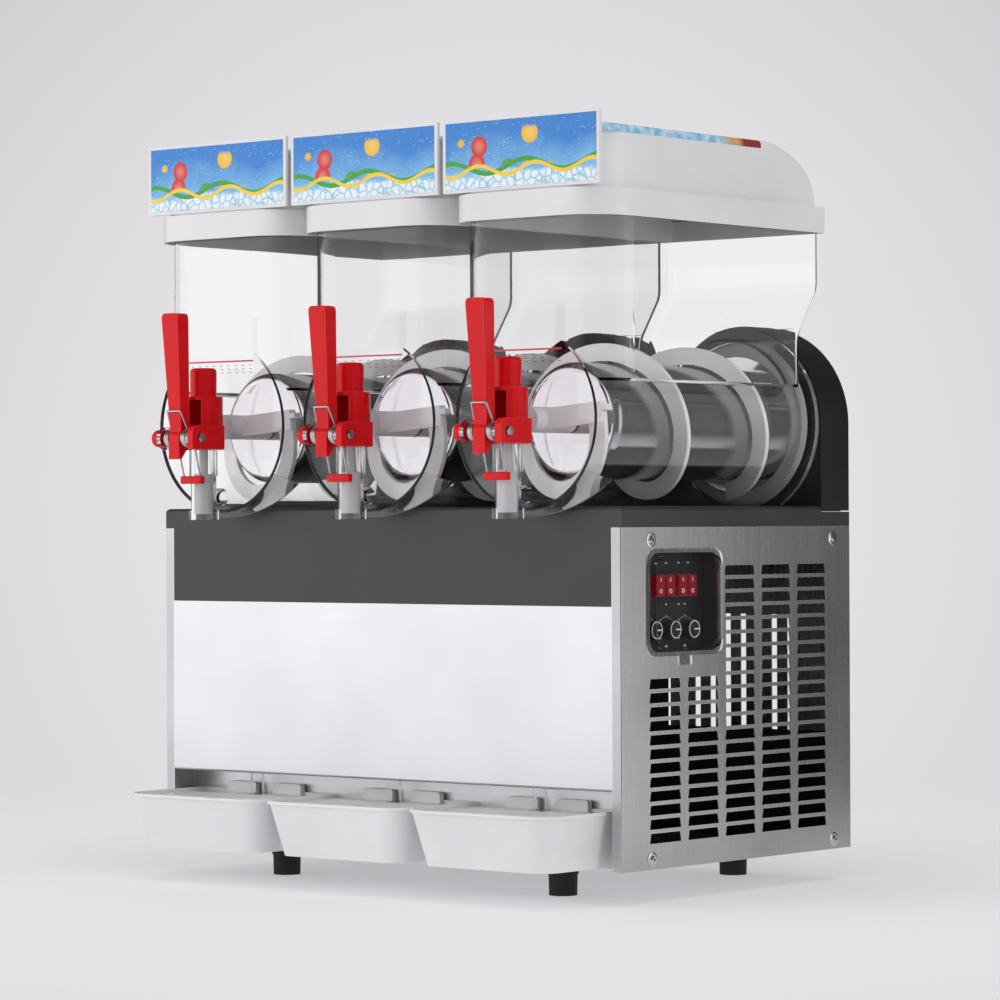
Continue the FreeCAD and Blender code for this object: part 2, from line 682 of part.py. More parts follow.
def make_front_panels():
    half = f"({SIDE} - Sizes.flange_width)"
    inner_top = "(Sizes.recess_top + Sizes.sheet)"
    body = new_body("front_sheet")
    pad(body, "YZ_Plane", lambda sketch: polygon(sketch, [
        (FRONT, "Sizes.recess_top"),
        (behind("Sizes.recess_depth + Sizes.sheet"), "Sizes.recess_top"),
        (behind("Sizes.recess_depth + Sizes.sheet"), inner_top),
        (behind("Sizes.sheet"), inner_top),
        (behind("Sizes.sheet"), "Sizes.fascia_bottom"),
        (FRONT, "Sizes.fascia_bottom"),
    ]), f"-{half}", half)
    round_edges(
        body, "Sizes.corner_bend",
        lambda edge: runs_along(edge, "x") and near(edge.BoundBox.YMin, FRONT)
        and near(edge.BoundBox.ZMin, "Sizes.recess_top"),
    )
    piece(body, "front_panel")
    piece(box(
        "lower_sheet", (f"-{half}", half),
        (behind("Sizes.recess_depth"), behind("Sizes.recess_depth + Sizes.sheet")),
        (FLOOR_TOP, "Sizes.recess_top"),
    ), "lower_front_panel")


def make_rear_panel():
    body = new_body("rear_sheet")
    half = f"({SIDE} - Sizes.sheet)"
    inner_face = f"({REAR} - Sizes.sheet)"
    pad(
        body, "XZ_Plane",
        lambda sketch: rectangle(sketch, (f"-{half}", half), ("Sizes.pan_bottom", "Sizes.panel_top")),
        inner_face, REAR,
    )
    slot = pocket(
        body, "XZ_Plane",
        lambda sketch: rectangle(
            sketch,
            ("-Sizes.vent_pitch * (Sizes.vent_slots - 1) / 2 - Sizes.vent_width / 2",
             "-Sizes.vent_pitch * (Sizes.vent_slots - 1) / 2 + Sizes.vent_width / 2"),
            ("Sizes.vent_bottom", "Sizes.vent_bottom + Sizes.vent_height"),
        ),
        inner_face, REAR,
    )
    repeat(body, slot, "H_Axis", "Sizes.vent_pitch", "Sizes.vent_slots")
    piece(body, "rear_panel")


def make_top_deck():
    body = new_body("deck")
    step = behind("Sizes.base_depth - Sizes.housing_depth - Sizes.run_gap")
    pad(
        body, "XY_Plane",
        lambda sketch: rectangle(sketch, (f"-{SIDE}", SIDE), (FRONT, REAR)),
        "Sizes.panel_top", "Sizes.deck_top",
    )
    pocket(
        body, "XY_Plane",
        lambda sketch: rectangle(sketch, (f"-{SIDE}", SIDE), (step, REAR)),
        "Sizes.housing_foot - Sizes.run_gap", "Sizes.deck_top",
    )
    round_edges(body, "Sizes.deck_edge_round", lambda edge: (
        (runs_along(edge, "x") or runs_along(edge, "y"))
        and near(edge.BoundBox.ZMin, "Sizes.deck_top") and not near(edge.BoundBox.YMin, step)
    ))
    pad(
        body, "XZ_Plane",
        lambda sketch: rectangle(
            sketch,
            (f"-{SIDE} + Sizes.flange_width + Sizes.run_gap", f"{SIDE} - Sizes.flange_width - Sizes.run_gap"),
            ("Sizes.fascia_bottom", "Sizes.panel_top"),
        ),
        FRONT, behind("Sizes.deck_wall"),
    )
    pocket(
        body, "XY_Plane",
        lambda sketch: rectangle(
            sketch,
            (f"-{SIDE} + Sizes.deck_wall", f"{SIDE} - Sizes.deck_wall"),
            (behind("Sizes.deck_wall"), f"{REAR} - Sizes.deck_wall"),
        ),
        "Sizes.panel_top", "Sizes.deck_top - Sizes.deck_skin",
    )

    def troughs(sketch):
        for station in STATIONS:
            circle(sketch, station_x(station), AXIS_Z, "Sizes.bowl_radius + Sizes.run_gap")

    pocket(body, "XZ_Plane", troughs, FRONT, step)
    piece(body, "top_deck")


def housing_block(name, inset, start, end):
    """Three arches over a common foot, set in all round by an inset."""
    reach = f"({PITCH} + {ARCH_RADIUS} - {inset})"
    solids = [box(
        f"{name}_foot", (f"-{reach}", reach), (start, end), (f"Sizes.housing_foot + {inset}", AXIS_Z),
    )]
    for station in STATIONS:
        arch = rod(
            f"{name}_arch", "y", f"{ARCH_RADIUS} - {inset}", start, end,
            x=station_x(station), z=AXIS_Z,
        )
        above = box(
            f"{name}_above", (f"-{reach}", reach), (start, end), (AXIS_Z, f"{AXIS_Z} + {ARCH_RADIUS}")
        )
        common = doc.addObject("Part::Common", f"{name}_half_arch")
        common.Base = arch
        common.Tool = above
        solids.append(common)
    return joined(name, solids)


def make_rear_housing():
    front_face = behind("Sizes.base_depth - Sizes.housing_depth")
    seam = f"({REAR} - Sizes.cover_depth)"
    shell = cut(
        "housing_shell",
        housing_block("housing_outer", "0", front_face, seam),
        housing_block("housing_inner", "Sizes.housing_wall", f"{front_face} + Sizes.housing_wall", seam),
    )
    holes = [
        rod(
            "shaft_hole", "y", "Sizes.shaft_radius + Sizes.shaft_bore_gap",
            front_face, f"{front_face} + Sizes.housing_wall", x=station_x(station), z=AXIS_Z,
        )
        for station in STATIONS
    ]
    cover = cut(
        "housing_cover",
        housing_block("cover_outer", "Sizes.seam_step", seam, REAR),
        housing_block("cover_inner", "Sizes.housing_wall", seam, f"{REAR} - Sizes.housing_wall"),
    )
    drilled = cut("housing_drilled", shell, joined("shaft_holes", holes))
    piece(grouped("housing", [drilled, cover]), "rear_housing")


def make_panel_screws():
    screws = []
    for side in (-1, 1):
        for depth in ("Sizes.screw_front", "Sizes.screw_rear"):
            for height in ("Sizes.screw_low", "Sizes.screw_high"):
                body = new_body("screw")
                revolve(body, "XZ_Plane", [
                    ("0", "0"),
                    ("Sizes.screw_washer", "0"),
                    ("Sizes.screw_washer", "Sizes.screw_washer_height"),
                    ("Sizes.screw_radius", "Sizes.screw_washer_height"),
                    ("Sizes.screw_face_radius", "Sizes.screw_washer_height + Sizes.screw_head"),
                    ("0", "Sizes.screw_washer_height + Sizes.screw_head"),
                ])
                body.Placement = Placement(Vector(), Rotation(Vector(0, 1, 0), 90 * side))
                put(body, x=f"{side} * {SIDE}", y=behind(depth), z=height)
                screws.append(body)
    piece(grouped("screws", screws), "panel_screws")


# ---- cooling and drive ------------------------------------------------------------------

def make_evaporators():
    barrels = []
    front = behind("Sizes.barrel_front")
    rear = behind("Sizes.base_depth - Sizes.housing_depth")
    collar = f"({rear} - Sizes.barrel_collar_depth)"
    bore = "(Sizes.shaft_radius + Sizes.shaft_bore_gap)"
    for station in STATIONS:
        body = new_body("barrel")
        revolve(body, "XY_Plane", [
            (bore, front),
            ("Sizes.barrel_radius", front),
            ("Sizes.barrel_radius", collar),
            ("Sizes.barrel_collar_radius", collar),
            ("Sizes.barrel_collar_radius", rear),
            ("Sizes.barrel_radius - Sizes.barrel_wall", rear),
            ("Sizes.barrel_radius - Sizes.barrel_wall", f"{front} + Sizes.barrel_nose_round"),
            (f"{bore} + Sizes.barrel_wall", f"{front} + Sizes.barrel_nose_round"),
            (f"{bore} + Sizes.barrel_wall", rear),
            (bore, rear),
        ])
        round_edges(
            body, "Sizes.barrel_nose_round",
            lambda edge: near(edge.BoundBox.YMin, front) and near(edge.BoundBox.ZMax, "Sizes.barrel_radius"),
        )
        put(body, x=station_x(station), z=AXIS_Z)
        barrels.append(body)
    piece(grouped("barrels", barrels), "evaporator_barrels")


def make_bowl_seals():
    seals = []
    rear = behind("Sizes.base_depth - Sizes.housing_depth")
    inner = "(Sizes.barrel_collar_radius)"
    outer = "(Sizes.bowl_radius - Sizes.bowl_wall - Sizes.run_gap)"
    for station in STATIONS:
        body = new_body("seal")
        revolve(body, "XY_Plane", [
            (inner, f"{rear} - Sizes.seal_depth"),
            (f"{outer} - Sizes.seal_lip", f"{rear} - Sizes.seal_depth"),
            (outer, f"{rear} - Sizes.seal_depth + Sizes.seal_lip"),
            (outer, rear),
            (inner, rear),
        ])
        put(body, x=station_x(station), z=AXIS_Z)
        seals.append(body)
    piece(grouped("seals", seals), "bowl_seals")


def make_gearmotors():
    front = behind("Sizes.base_depth - Sizes.housing_depth + Sizes.housing_wall")
    half = "Sizes.gearbox_side / 2"
    motors = []
    for station in STATIONS:
        middle = station_x(station)
        gearbox = box(
            "gearbox", (f"{middle} - {half}", f"{middle} + {half}"),
            (front, f"{front} + Sizes.gearbox_depth"), (f"{AXIS_Z} - {half}", f"{AXIS_Z} + {half}"),
        )
        motor = rod(
            "motor", "y", "Sizes.motor_radius", f"{front} + Sizes.gearbox_depth",
            f"{front} + Sizes.gearbox_depth + Sizes.motor_depth", x=middle, z=AXIS_Z,
        )
        socket = rod(
            "shaft_socket", "y", "Sizes.shaft_radius + Sizes.run_gap", front,
            f"{front} + Sizes.shaft_engagement + Sizes.run_gap", x=middle, z=AXIS_Z,
        )
        motors.append(cut("gearmotor", joined("motor_block", [gearbox, motor]), socket))
    piece(grouped("motors", motors), "gearmotors")


def make_drain_tubes():
    tubes = []
    for station in STATIONS:
        body = new_body("drain")
        revolve(body, "XZ_Plane", [
            ("Sizes.drain_tip_radius - Sizes.drain_wall", "Sizes.drain_tip"),
            ("Sizes.drain_tip_radius", "Sizes.drain_tip"),
            ("Sizes.drain_top_radius", "Sizes.recess_top"),
            ("Sizes.drain_top_radius - Sizes.drain_wall", "Sizes.recess_top"),
        ])
        put(body, x=station_x(station, TRAY_PITCH), y=behind("Sizes.drain_axis"))
        tubes.append(body)
    piece(grouped("drains", tubes), "drain_tubes")


def make_auger(station):
    """Helical scraper round the barrel, with a hub, a front arm and a wiping nub at its tip."""
    body = new_body("auger")
    start = behind("Sizes.auger_front")
    outline = sketch_on(body, "XY_Plane")
    rectangle(
        outline, ("Sizes.auger_inner_radius", "Sizes.auger_radius"), (start, f"{start} + Sizes.auger_blade")
    )
    helix = body.newObject("PartDesign::AdditiveHelix", "auger_helix")
    helix.Profile = outline
    helix.ReferenceAxis = (outline, ["V_Axis"])
    helix.Mode = "pitch-height-angle"
    helix.setExpression("Pitch", "Sizes.auger_pitch")
    helix.setExpression("Height", "Sizes.auger_length")
    hub_back = behind("Sizes.barrel_front - Sizes.hub_gap")
    pad(
        body, "XZ_Plane", lambda sketch: circle(sketch, "0", "0", "Sizes.hub_radius"),
        behind("-Sizes.hub_nose"), hub_back,
    )
    pad(
        body, "XZ_Plane",
        lambda sketch: rectangle(
            sketch, ("0", "Sizes.auger_radius - Sizes.paddle_tip_set_in"),
            ("-Sizes.paddle_width / 2", "Sizes.paddle_width / 2"),
        ),
        start, f"{start} + Sizes.paddle_depth",
    )
    pad(
        body, "XZ_Plane",
        lambda sketch: rectangle(
            sketch, ("Sizes.auger_inner_radius", "Sizes.auger_radius + Sizes.nub_reach"),
            ("Sizes.nub_low", "Sizes.nub_low + Sizes.nub_height"),
        ),
        start, f"{start} + Sizes.paddle_depth",
    )
    pocket(
        body, "XZ_Plane",
        lambda sketch: circle(sketch, "0", "0", "Sizes.shaft_radius + Sizes.shaft_fit"),
        start, hub_back,
    )
    body.Placement = Placement(Vector(), Rotation(Vector(0, 1, 0), -value("Sizes.auger_start_angle")))
    put(body, x=station_x(station), z=AXIS_Z)
    piece(body, f"auger_{station}")
    piece(rod(
        "shaft", "y", "Sizes.shaft_radius", start,
        behind("Sizes.base_depth - Sizes.housing_depth + Sizes.housing_wall + Sizes.shaft_engagement"),
        x=station_x(station), z=AXIS_Z,
    ), f"drive_shaft_{station}")


# ---- bowl and lid -----------------------------------------------------------------------

def bowl_block(name, inset, top):
    """Round lower part joined to the wider upper part, set in all round."""
    front = f"({behind('-Sizes.bowl_front')} + {inset})"
    tube = rod(
        f"{name}_round", "y", f"Sizes.bowl_radius - {inset}", front,
        behind("Sizes.base_depth - Sizes.housing_depth - Sizes.run_gap"), z=AXIS_Z,
    )
    upper = new_body(f"{name}_upper")
    low_rear = behind(f"Sizes.bowl_round_depth - {inset}")
    high_rear = behind(f"Sizes.bowl_upper_depth - {inset}")
    half = f"({PITCH} / 2 - Sizes.bowl_gap - {inset})"
    pad(upper, "YZ_Plane", lambda sketch: polygon(sketch, [
        (front, f"Sizes.bowl_ledge + {inset}"),
        (low_rear, f"Sizes.bowl_ledge + {inset}"),
        (low_rear, "Sizes.bowl_step_low"),
        (high_rear, "Sizes.bowl_step_high"),
        (high_rear, top),
        (front, top),
    ]), f"-{half}", half)
    round_edges(
        upper, f"Sizes.bowl_corner - {inset}",
        lambda edge: runs_along(edge, "z") and near(edge.BoundBox.YMin, front),
    )
    for height in ("Sizes.bowl_step_low", "Sizes.bowl_step_high"):
        round_edges(upper, "Sizes.bowl_step_round", lambda edge: (
            runs_along(edge, "x") and near(edge.BoundBox.ZMin, height)
        ))
    round_edges(upper, f"Sizes.bowl_rear_corner - {inset}", lambda edge: (
        near(abs(edge.BoundBox.XMin), half) and near(abs(edge.BoundBox.XMax), half)
        and edge.BoundBox.YMin > value(low_rear) - value("Sizes.bowl_wall")
    ))
    return joined(name, [tube, upper])


def make_bowl(station):
    outer = bowl_block("bowl_outer", "0", BOWL_TOP)
    inner = bowl_block("bowl_inner", "Sizes.bowl_wall", f"({BOWL_TOP} + Sizes.bowl_wall)")
    rear = behind("Sizes.base_depth - Sizes.housing_depth - Sizes.run_gap")
    flange_radius = f"({PITCH} / 2 - Sizes.flange_gap)"
    disc = rod("flange_disc", "y", flange_radius, f"{rear} - Sizes.flange_depth", rear, z=AXIS_Z)
    clear_of_deck = box(
        "flange_clip", (f"-{flange_radius}", flange_radius),
        (f"{rear} - Sizes.flange_depth", rear),
        ("Sizes.deck_top + Sizes.run_gap", f"{AXIS_Z} + {flange_radius}"),
    )
    flange = doc.addObject("Part::Common", "flange")
    flange.Base = disc
    flange.Tool = clear_of_deck
    axis = {"y": behind("-Sizes.tap_axis")}
    duct_end = behind("Sizes.bowl_wall - Sizes.bowl_front")
    spout = [
        rod("spout", "z", "Sizes.spout_radius", "Sizes.spout_bottom", "Sizes.spout_top", **axis),
        rod(
            "spout_collar", "z", "Sizes.spout_collar_radius", "Sizes.spout_collar_bottom", "Sizes.spout_top",
            **axis,
        ),
        rod(
            "spout_lip", "z", "Sizes.spout_lip_radius", "Sizes.spout_bottom",
            "Sizes.spout_bottom + Sizes.spout_lip_height", **axis,
        ),
        rod("duct", "y", "Sizes.duct_radius", behind("-Sizes.tap_axis"), duct_end, z="Sizes.duct_z"),
    ]
    bores = [
        rod("spout_bore", "z", "Sizes.spout_bore", "Sizes.spout_bottom", "Sizes.spout_top", **axis),
        rod("duct_bore", "y", "Sizes.duct_bore", behind("-Sizes.tap_axis"), duct_end, z="Sizes.duct_z"),
    ]
    solid = joined("bowl_solid", [outer, flange] + spout)
    bowl = cut("bowl", solid, joined("bowl_space", [inner] + bores))
    put(bowl, x=station_x(station))
    piece(bowl, f"bowl_{station}")


def lid_block(name, inset):
    """Rim and box of the lid, set in all round by an inset."""
    front = f"({behind('-Sizes.lid_front')} + {inset})"
    rear = f"({behind('Sizes.lid_rear')} - {inset})"
    half = f"({PITCH} / 2 - Sizes.lid_gap - {inset})"
    roof = f"(Sizes.lid_roof - {inset})"
    rim = new_body(f"{name}_rim")
    pad(
        rim, "XY_Plane", lambda sketch: rectangle(sketch, (f"-{half}", half), (front, rear)),
        "Sizes.lid_rim_bottom", f"Sizes.lid_shelf - {inset}",
    )
    round_edges(
        rim, f"Sizes.lid_corner - {inset}",
        lambda edge: runs_along(edge, "z") and near(edge.BoundBox.YMin, front),
    )
    round_edges(
        rim, f"Sizes.lid_rear_corner - {inset}",
        lambda edge: runs_along(edge, "z") and near(edge.BoundBox.YMin, rear),
    )
    crown = new_body(f"{name}_box")
    box_front = f"({front} + Sizes.lid_inset)"
    box_rear = f"({rear} - Sizes.lid_inset)"
    box_half = f"({half} - Sizes.lid_inset)"
    foot = f"(Sizes.lid_shelf - {inset} - Sizes.lid_wall)"
    pad(crown, "YZ_Plane", lambda sketch: polygon(sketch, [
        (box_front, foot),
        (box_rear, foot),
        (box_rear, f"{roof} - Sizes.fall_height"),
        (f"{box_rear} - Sizes.fall_depth", roof),
        (box_front, roof),
    ]), f"-{box_half}", box_half)
    round_edges(
        crown, f"Sizes.lid_corner - Sizes.lid_inset - {inset}",
        lambda edge: runs_along(edge, "z") and near(edge.BoundBox.YMin, box_front),
    )
    for radius, height in (
        ("Sizes.fall_foot_round", f"{roof} - Sizes.fall_height"), ("Sizes.fall_head_round", roof),
    ):
        round_edges(crown, f"{radius} - {inset}", lambda edge: (
            runs_along(edge, "x") and near(edge.BoundBox.ZMin, height)
            and edge.BoundBox.YMin > value(box_front) + value("Sizes.lid_corner")
        ))
    round_edges(crown, f"Sizes.lid_edge_round - {inset}", lambda edge: (
        near(abs(edge.BoundBox.XMin), box_half) and near(edge.BoundBox.XLength, "0")
        and edge.BoundBox.ZMin > value(foot) + value("Sizes.lid_edge_round")
    ))
    return joined(name, [rim, crown])


def make_lid(station):
    sign_face = behind("-Sizes.sign_front")
    shell = cut("lid_shell", lid_block("lid_outer", "0"), lid_block("lid_inner", "Sizes.lid_wall"))
    sign_half = f"({PITCH} / 2 - Sizes.sign_gap)"
    sign = new_body("sign_board")
    pad(
        sign, "XZ_Plane",
        lambda sketch: rectangle(
            sketch, (f"-{sign_half}", sign_half), ("Sizes.sign_bottom", "Sizes.lid_top"),
        ),
        sign_face, f"{sign_face} + Sizes.sign_depth",
    )
    round_edges(sign, "Sizes.sign_round", lambda edge: runs_along(edge, "y"))
    lid = joined("lid", [shell, sign])
    put(lid, x=station_x(station))
    piece(lid, f"lid_{station}")


# ---- tap --------------------------------------------------------------------------------

def make_tap_body(station):
    body = new_body("tap")
    face = behind("-Sizes.tap_overhang")
    web = behind("-Sizes.tap_web_front")
    axis_y = behind("-Sizes.tap_axis")
    ear_inner = "(Sizes.ear_outer - Sizes.ear_thickness)"
    height = ("Sizes.spout_top", "Sizes.ear_top")
    pad(
        body, "YZ_Plane", lambda sketch: rectangle(sketch, (face, axis_y), height),
        ear_inner, "Sizes.ear_outer",
    )
    round_edges(body, "Sizes.ear_round", lambda edge: (
        runs_along(edge, "x") and near(edge.BoundBox.YMin, face) and near(edge.BoundBox.ZMin, "Sizes.ear_top")
    ))
    pad(
        body, "YZ_Plane", lambda sketch: rectangle(sketch, (web, axis_y), height),
        "-Sizes.ear_outer", "Sizes.ear_outer",
    )
    pad(
        body, "YZ_Plane",
        lambda sketch: rectangle(
            sketch, (behind("-Sizes.pivot_reach"), web),
            ("Sizes.pivot_z - Sizes.ear_lug_radius", "Sizes.pivot_z + Sizes.ear_lug_radius"),
        ),
        "-Sizes.ear_outer", f"-{ear_inner}",
    )
    pad(
        body, "YZ_Plane",
        lambda sketch: circle(sketch, behind("-Sizes.pivot_reach"), "Sizes.pivot_z", "Sizes.ear_lug_radius"),
        "-Sizes.ear_outer", f"-{ear_inner}",
    )
    pad(
        body, "XY_Plane", lambda sketch: circle(sketch, "0", axis_y, "Sizes.tap_neck_radius"),
        "Sizes.spout_top", "Sizes.tap_neck_top",
    )
    pad(
        body, "XY_Plane", lambda sketch: circle(sketch, "0", axis_y, "Sizes.tap_cap_radius"),
        "Sizes.tap_neck_top", "Sizes.tap_cap_top",
    )
    round_edges(body, "Sizes.tap_cap_round", lambda edge: near(edge.BoundBox.ZMin, "Sizes.tap_cap_top"))
    pocket(
        body, "XY_Plane",
        lambda sketch: rectangle(
            sketch, ("-Sizes.tap_slot_half", "Sizes.tap_slot_half"),
            (behind("-Sizes.tap_axis - Sizes.tap_neck_radius"), axis_y),
        ),
        "Sizes.spout_top", "Sizes.tap_slot_top",
    )
    pocket(
        body, "XY_Plane", lambda sketch: circle(sketch, "0", axis_y, "Sizes.tap_chamber_radius"),
        "Sizes.spout_top", "Sizes.tap_chamber_top",
    )
    pocket(
        body, "YZ_Plane",
        lambda sketch: circle(
            sketch, behind("-Sizes.pivot_reach"), "Sizes.pivot_z", "Sizes.pivot_radius + Sizes.pivot_fit"
        ),
        "-Sizes.ear_outer", "Sizes.ear_outer",
    )
    pocket(
        body, "YZ_Plane",
        lambda sketch: circle(
            sketch, behind("-Sizes.pivot_reach"), "Sizes.pivot_z", "Sizes.nut_radius + Sizes.run_gap"
        ),
        "Sizes.ear_outer - Sizes.nut_height", "Sizes.ear_outer",
    )
    put(body, x=station_x(station))
    piece(body, f"tap_body_{station}")


def make_tap_pivot(station):
    """Bolt with a domed head, a nut and the two spacer washers."""
    centre = {"y": behind("-Sizes.pivot_reach"), "z": "Sizes.pivot_z"}
    ear_inner = "(Sizes.ear_outer - Sizes.ear_thickness)"
    solids = [
        rod("bolt", "x", "Sizes.pivot_radius", "-Sizes.ear_outer", "Sizes.ear_outer", **centre),
        rod(
            "nut", "x", "Sizes.nut_radius", "Sizes.ear_outer - Sizes.nut_height + Sizes.run_gap",
            "Sizes.ear_outer + Sizes.nut_stand", **centre,
        ),
        rod(
            "washer", "x", "Sizes.washer_radius", f"{ear_inner} - Sizes.washer_thickness - Sizes.pivot_fit",
            f"{ear_inner} - Sizes.pivot_fit", **centre,
        ),
        rod(
            "washer", "x", "Sizes.washer_radius", f"-{ear_inner} + Sizes.pivot_fit",
            f"-{ear_inner} + Sizes.pivot_fit + Sizes.washer_thickness", **centre,
        ),
    ]
    head = new_body("bolt_head")
    revolve(head, "XZ_Plane", [
        ("0", "0"),
        ("Sizes.ear_lug_radius", "0"),
        ("Sizes.ear_lug_radius", "Sizes.bolt_head_height / 2"),
        ("Sizes.bolt_face_radius", "Sizes.bolt_head_height"),
        ("0", "Sizes.bolt_head_height"),
    ])
    head.Placement = Placement(Vector(), Rotation(Vector(0, 1, 0), -90))
    put(head, x="-Sizes.ear_outer", **centre)
    pivot = joined("pivot", solids + [head])
    put(pivot, x=station_x(station))
    piece(pivot, f"tap_pivot_{station}")


def make_tap_piston(station):
    body = new_body("piston")
    revolve(body, "XZ_Plane", [
        ("0", "Sizes.piston_bottom"),
        ("Sizes.piston_radius", "Sizes.piston_bottom"),
        ("Sizes.piston_radius", "Sizes.piston_skirt_top"),
        ("Sizes.piston_rod_radius", "Sizes.piston_skirt_top"),
        ("Sizes.piston_rod_radius", "Sizes.piston_head_bottom"),
        ("Sizes.piston_head_radius", "Sizes.piston_head_bottom"),
        ("Sizes.piston_head_radius", "Sizes.piston_head_top"),
        ("0", "Sizes.piston_head_top"),
    ])
    put(body, x=station_x(station), y=behind("-Sizes.tap_axis"))
    piece(body, f"tap_piston_{station}")


def make_tap_lever(station):
    """Handle, hub, pointed tail and the fork that lifts the piston."""
    body = new_body("lever")
    pivot_y = behind("-Sizes.pivot_reach")
    half_hub = "Sizes.lever_hub_width / 2"
    pad(
        body, "YZ_Plane", lambda sketch: circle(sketch, pivot_y, "Sizes.pivot_z", "Sizes.lever_hub_radius"),
        f"-{half_hub}", half_hub,
    )
    foot = sketch_on(body, "XY_Plane", "Sizes.pivot_z")
    front = f"({pivot_y} - Sizes.lever_root_depth / 2)"
    rectangle(foot, (f"-{half_hub}", half_hub), (front, f"{front} + Sizes.lever_root_depth"))
    head = sketch_on(body, "XY_Plane", "Sizes.lever_top")
    rectangle(
        head, ("-Sizes.lever_top_width / 2", "Sizes.lever_top_width / 2"),
        (f"{front} - Sizes.lever_lean", f"{front} - Sizes.lever_lean + Sizes.lever_top_depth"),
    )
    handle = body.newObject("PartDesign::AdditiveLoft", "lever_handle")
    handle.Profile = foot
    handle.Sections = [head]
    handle.Ruled = True
    round_edges(body, "Sizes.lever_tip_round", lambda edge: (
        near(edge.BoundBox.ZMin, "Sizes.lever_top") and runs_along(edge, "y")
    ))
    tail_front = f"({pivot_y} - Sizes.lever_hub_radius)"
    pad(body, "YZ_Plane", lambda sketch: polygon(sketch, [
        (tail_front, "Sizes.pivot_z"),
        (tail_front, "Sizes.lever_tail_z"),
        (f"{tail_front} + Sizes.lever_tail_tip", "Sizes.lever_tail_z"),
        (f"{pivot_y} + Sizes.lever_tail_back", "Sizes.pivot_z - Sizes.lever_tail_drop"),
    ]), f"-{half_hub}", half_hub)
    fork_top = "(Sizes.piston_head_bottom - Sizes.run_gap)"
    shoulder = f"({pivot_y} + Sizes.coil_radius + Sizes.fork_shoulder_gap)"
    for half, ends in (
        (half_hub, (pivot_y, shoulder)),
        ("Sizes.fork_half_width", (shoulder, f"{pivot_y} + Sizes.fork_reach")),
    ):
        pad(
            body, "XY_Plane", lambda sketch: rectangle(sketch, (f"-{half}", half), ends),
            f"{fork_top} - Sizes.fork_thickness", fork_top,
        )
    pocket(
        body, "XY_Plane",
        lambda sketch: rectangle(
            sketch, ("-Sizes.fork_inner", "Sizes.fork_inner"),
            (f"{pivot_y} + Sizes.fork_root", f"{pivot_y} + Sizes.fork_reach"),
        ),
        f"{fork_top} - Sizes.fork_thickness", fork_top,
    )
    pocket(
        body, "YZ_Plane",
        lambda sketch: circle(sketch, pivot_y, "Sizes.pivot_z", "Sizes.pivot_radius + Sizes.run_gap"),
        "-Sizes.lever_top_width / 2", "Sizes.lever_top_width / 2",
    )
    put(body, x=station_x(station))
    piece(body, f"tap_lever_{station}")


def make_tap_spring(station):
    """Two coils on the pivot, their legs and the bar that rests on the spout."""
    solids = []
    leg_y = f"({behind('-Sizes.pivot_reach')} + Sizes.coil_radius - Sizes.wire_radius)"
    bar_back = f"({behind('-Sizes.tap_axis')} - Sizes.spout_radius - Sizes.bar_gap)"
    bar_y = f"({bar_back} - Sizes.bar_depth / 2)"
    coil_start = "(Sizes.lever_hub_width / 2 + Sizes.coil_gap)"
    for side in (-1, 1):
        start = f"{side} * ({coil_start} + Sizes.coil_length / 2) - Sizes.coil_length / 2"
        centre = {"y": behind("-Sizes.pivot_reach"), "z": "Sizes.pivot_z"}
        sleeve = rod("coil_sleeve", "x", "Sizes.coil_radius", start, f"{start} + Sizes.coil_length", **centre)
        bore = rod("coil_bore", "x", "Sizes.coil_bore", start, f"{start} + Sizes.coil_length", **centre)
        solids.append(cut("coil", sleeve, bore))
        leg = new_body("leg")
        ends = []
        for y, height in ((bar_y, "Sizes.bar_bottom + Sizes.bar_height / 2"), (leg_y, "Sizes.pivot_z")):
            end = sketch_on(leg, "XY_Plane", height)
            circle(end, f"{side} * Sizes.leg_offset", y, "Sizes.wire_radius")
            ends.append(end)
        wire = leg.newObject("PartDesign::AdditiveLoft", "leg_wire")
        wire.Profile = ends[0]
        wire.Sections = ends[1:]
        solids.append(leg)
    solids.append(box(
        "bar", ("-Sizes.bar_half_width", "Sizes.bar_half_width"), (f"{bar_back} - Sizes.bar_depth", bar_back),
        ("Sizes.bar_bottom", "Sizes.bar_bottom + Sizes.bar_height"),
    ))
    spring = joined("spring", solids)
    put(spring, x=station_x(station))
    piece(spring, f"tap_spring_{station}")


# ---- drip trays -------------------------------------------------------------------------

TRAY_FRONT = behind("-Sizes.tray_front")
TRAY_REAR = behind("Sizes.recess_depth - Sizes.tray_rear_gap")
TRAY_FLOOR = f"({FLOOR_TOP} + Sizes.run_gap)"


def tray_block(name, inset):
    """Tapered basin, set in all round by an inset."""
    body = new_body(name)
    levels = (
        (f"{TRAY_FLOOR} + {inset}", "Sizes.tray_draft", "Sizes.tray_low_corner"),
        ("Sizes.tray_top", "0", "Sizes.tray_corner"),
    )
    sections = []
    for height, draft, corner in levels:
        sketch = sketch_on(body, "XY_Plane", height)
        rounded_front(
            sketch, f"({TRAY_HALF} - {inset} - {draft})", f"({TRAY_FRONT} + {inset} + {draft})",
            f"({TRAY_REAR} - {inset})", f"({corner} - {inset})",
        )
        sections.append(sketch)
    basin = body.newObject("PartDesign::AdditiveLoft", f"{name}_basin")
    basin.Profile = sections[0]
    basin.Sections = sections[1:]
    basin.Ruled = True
    return body


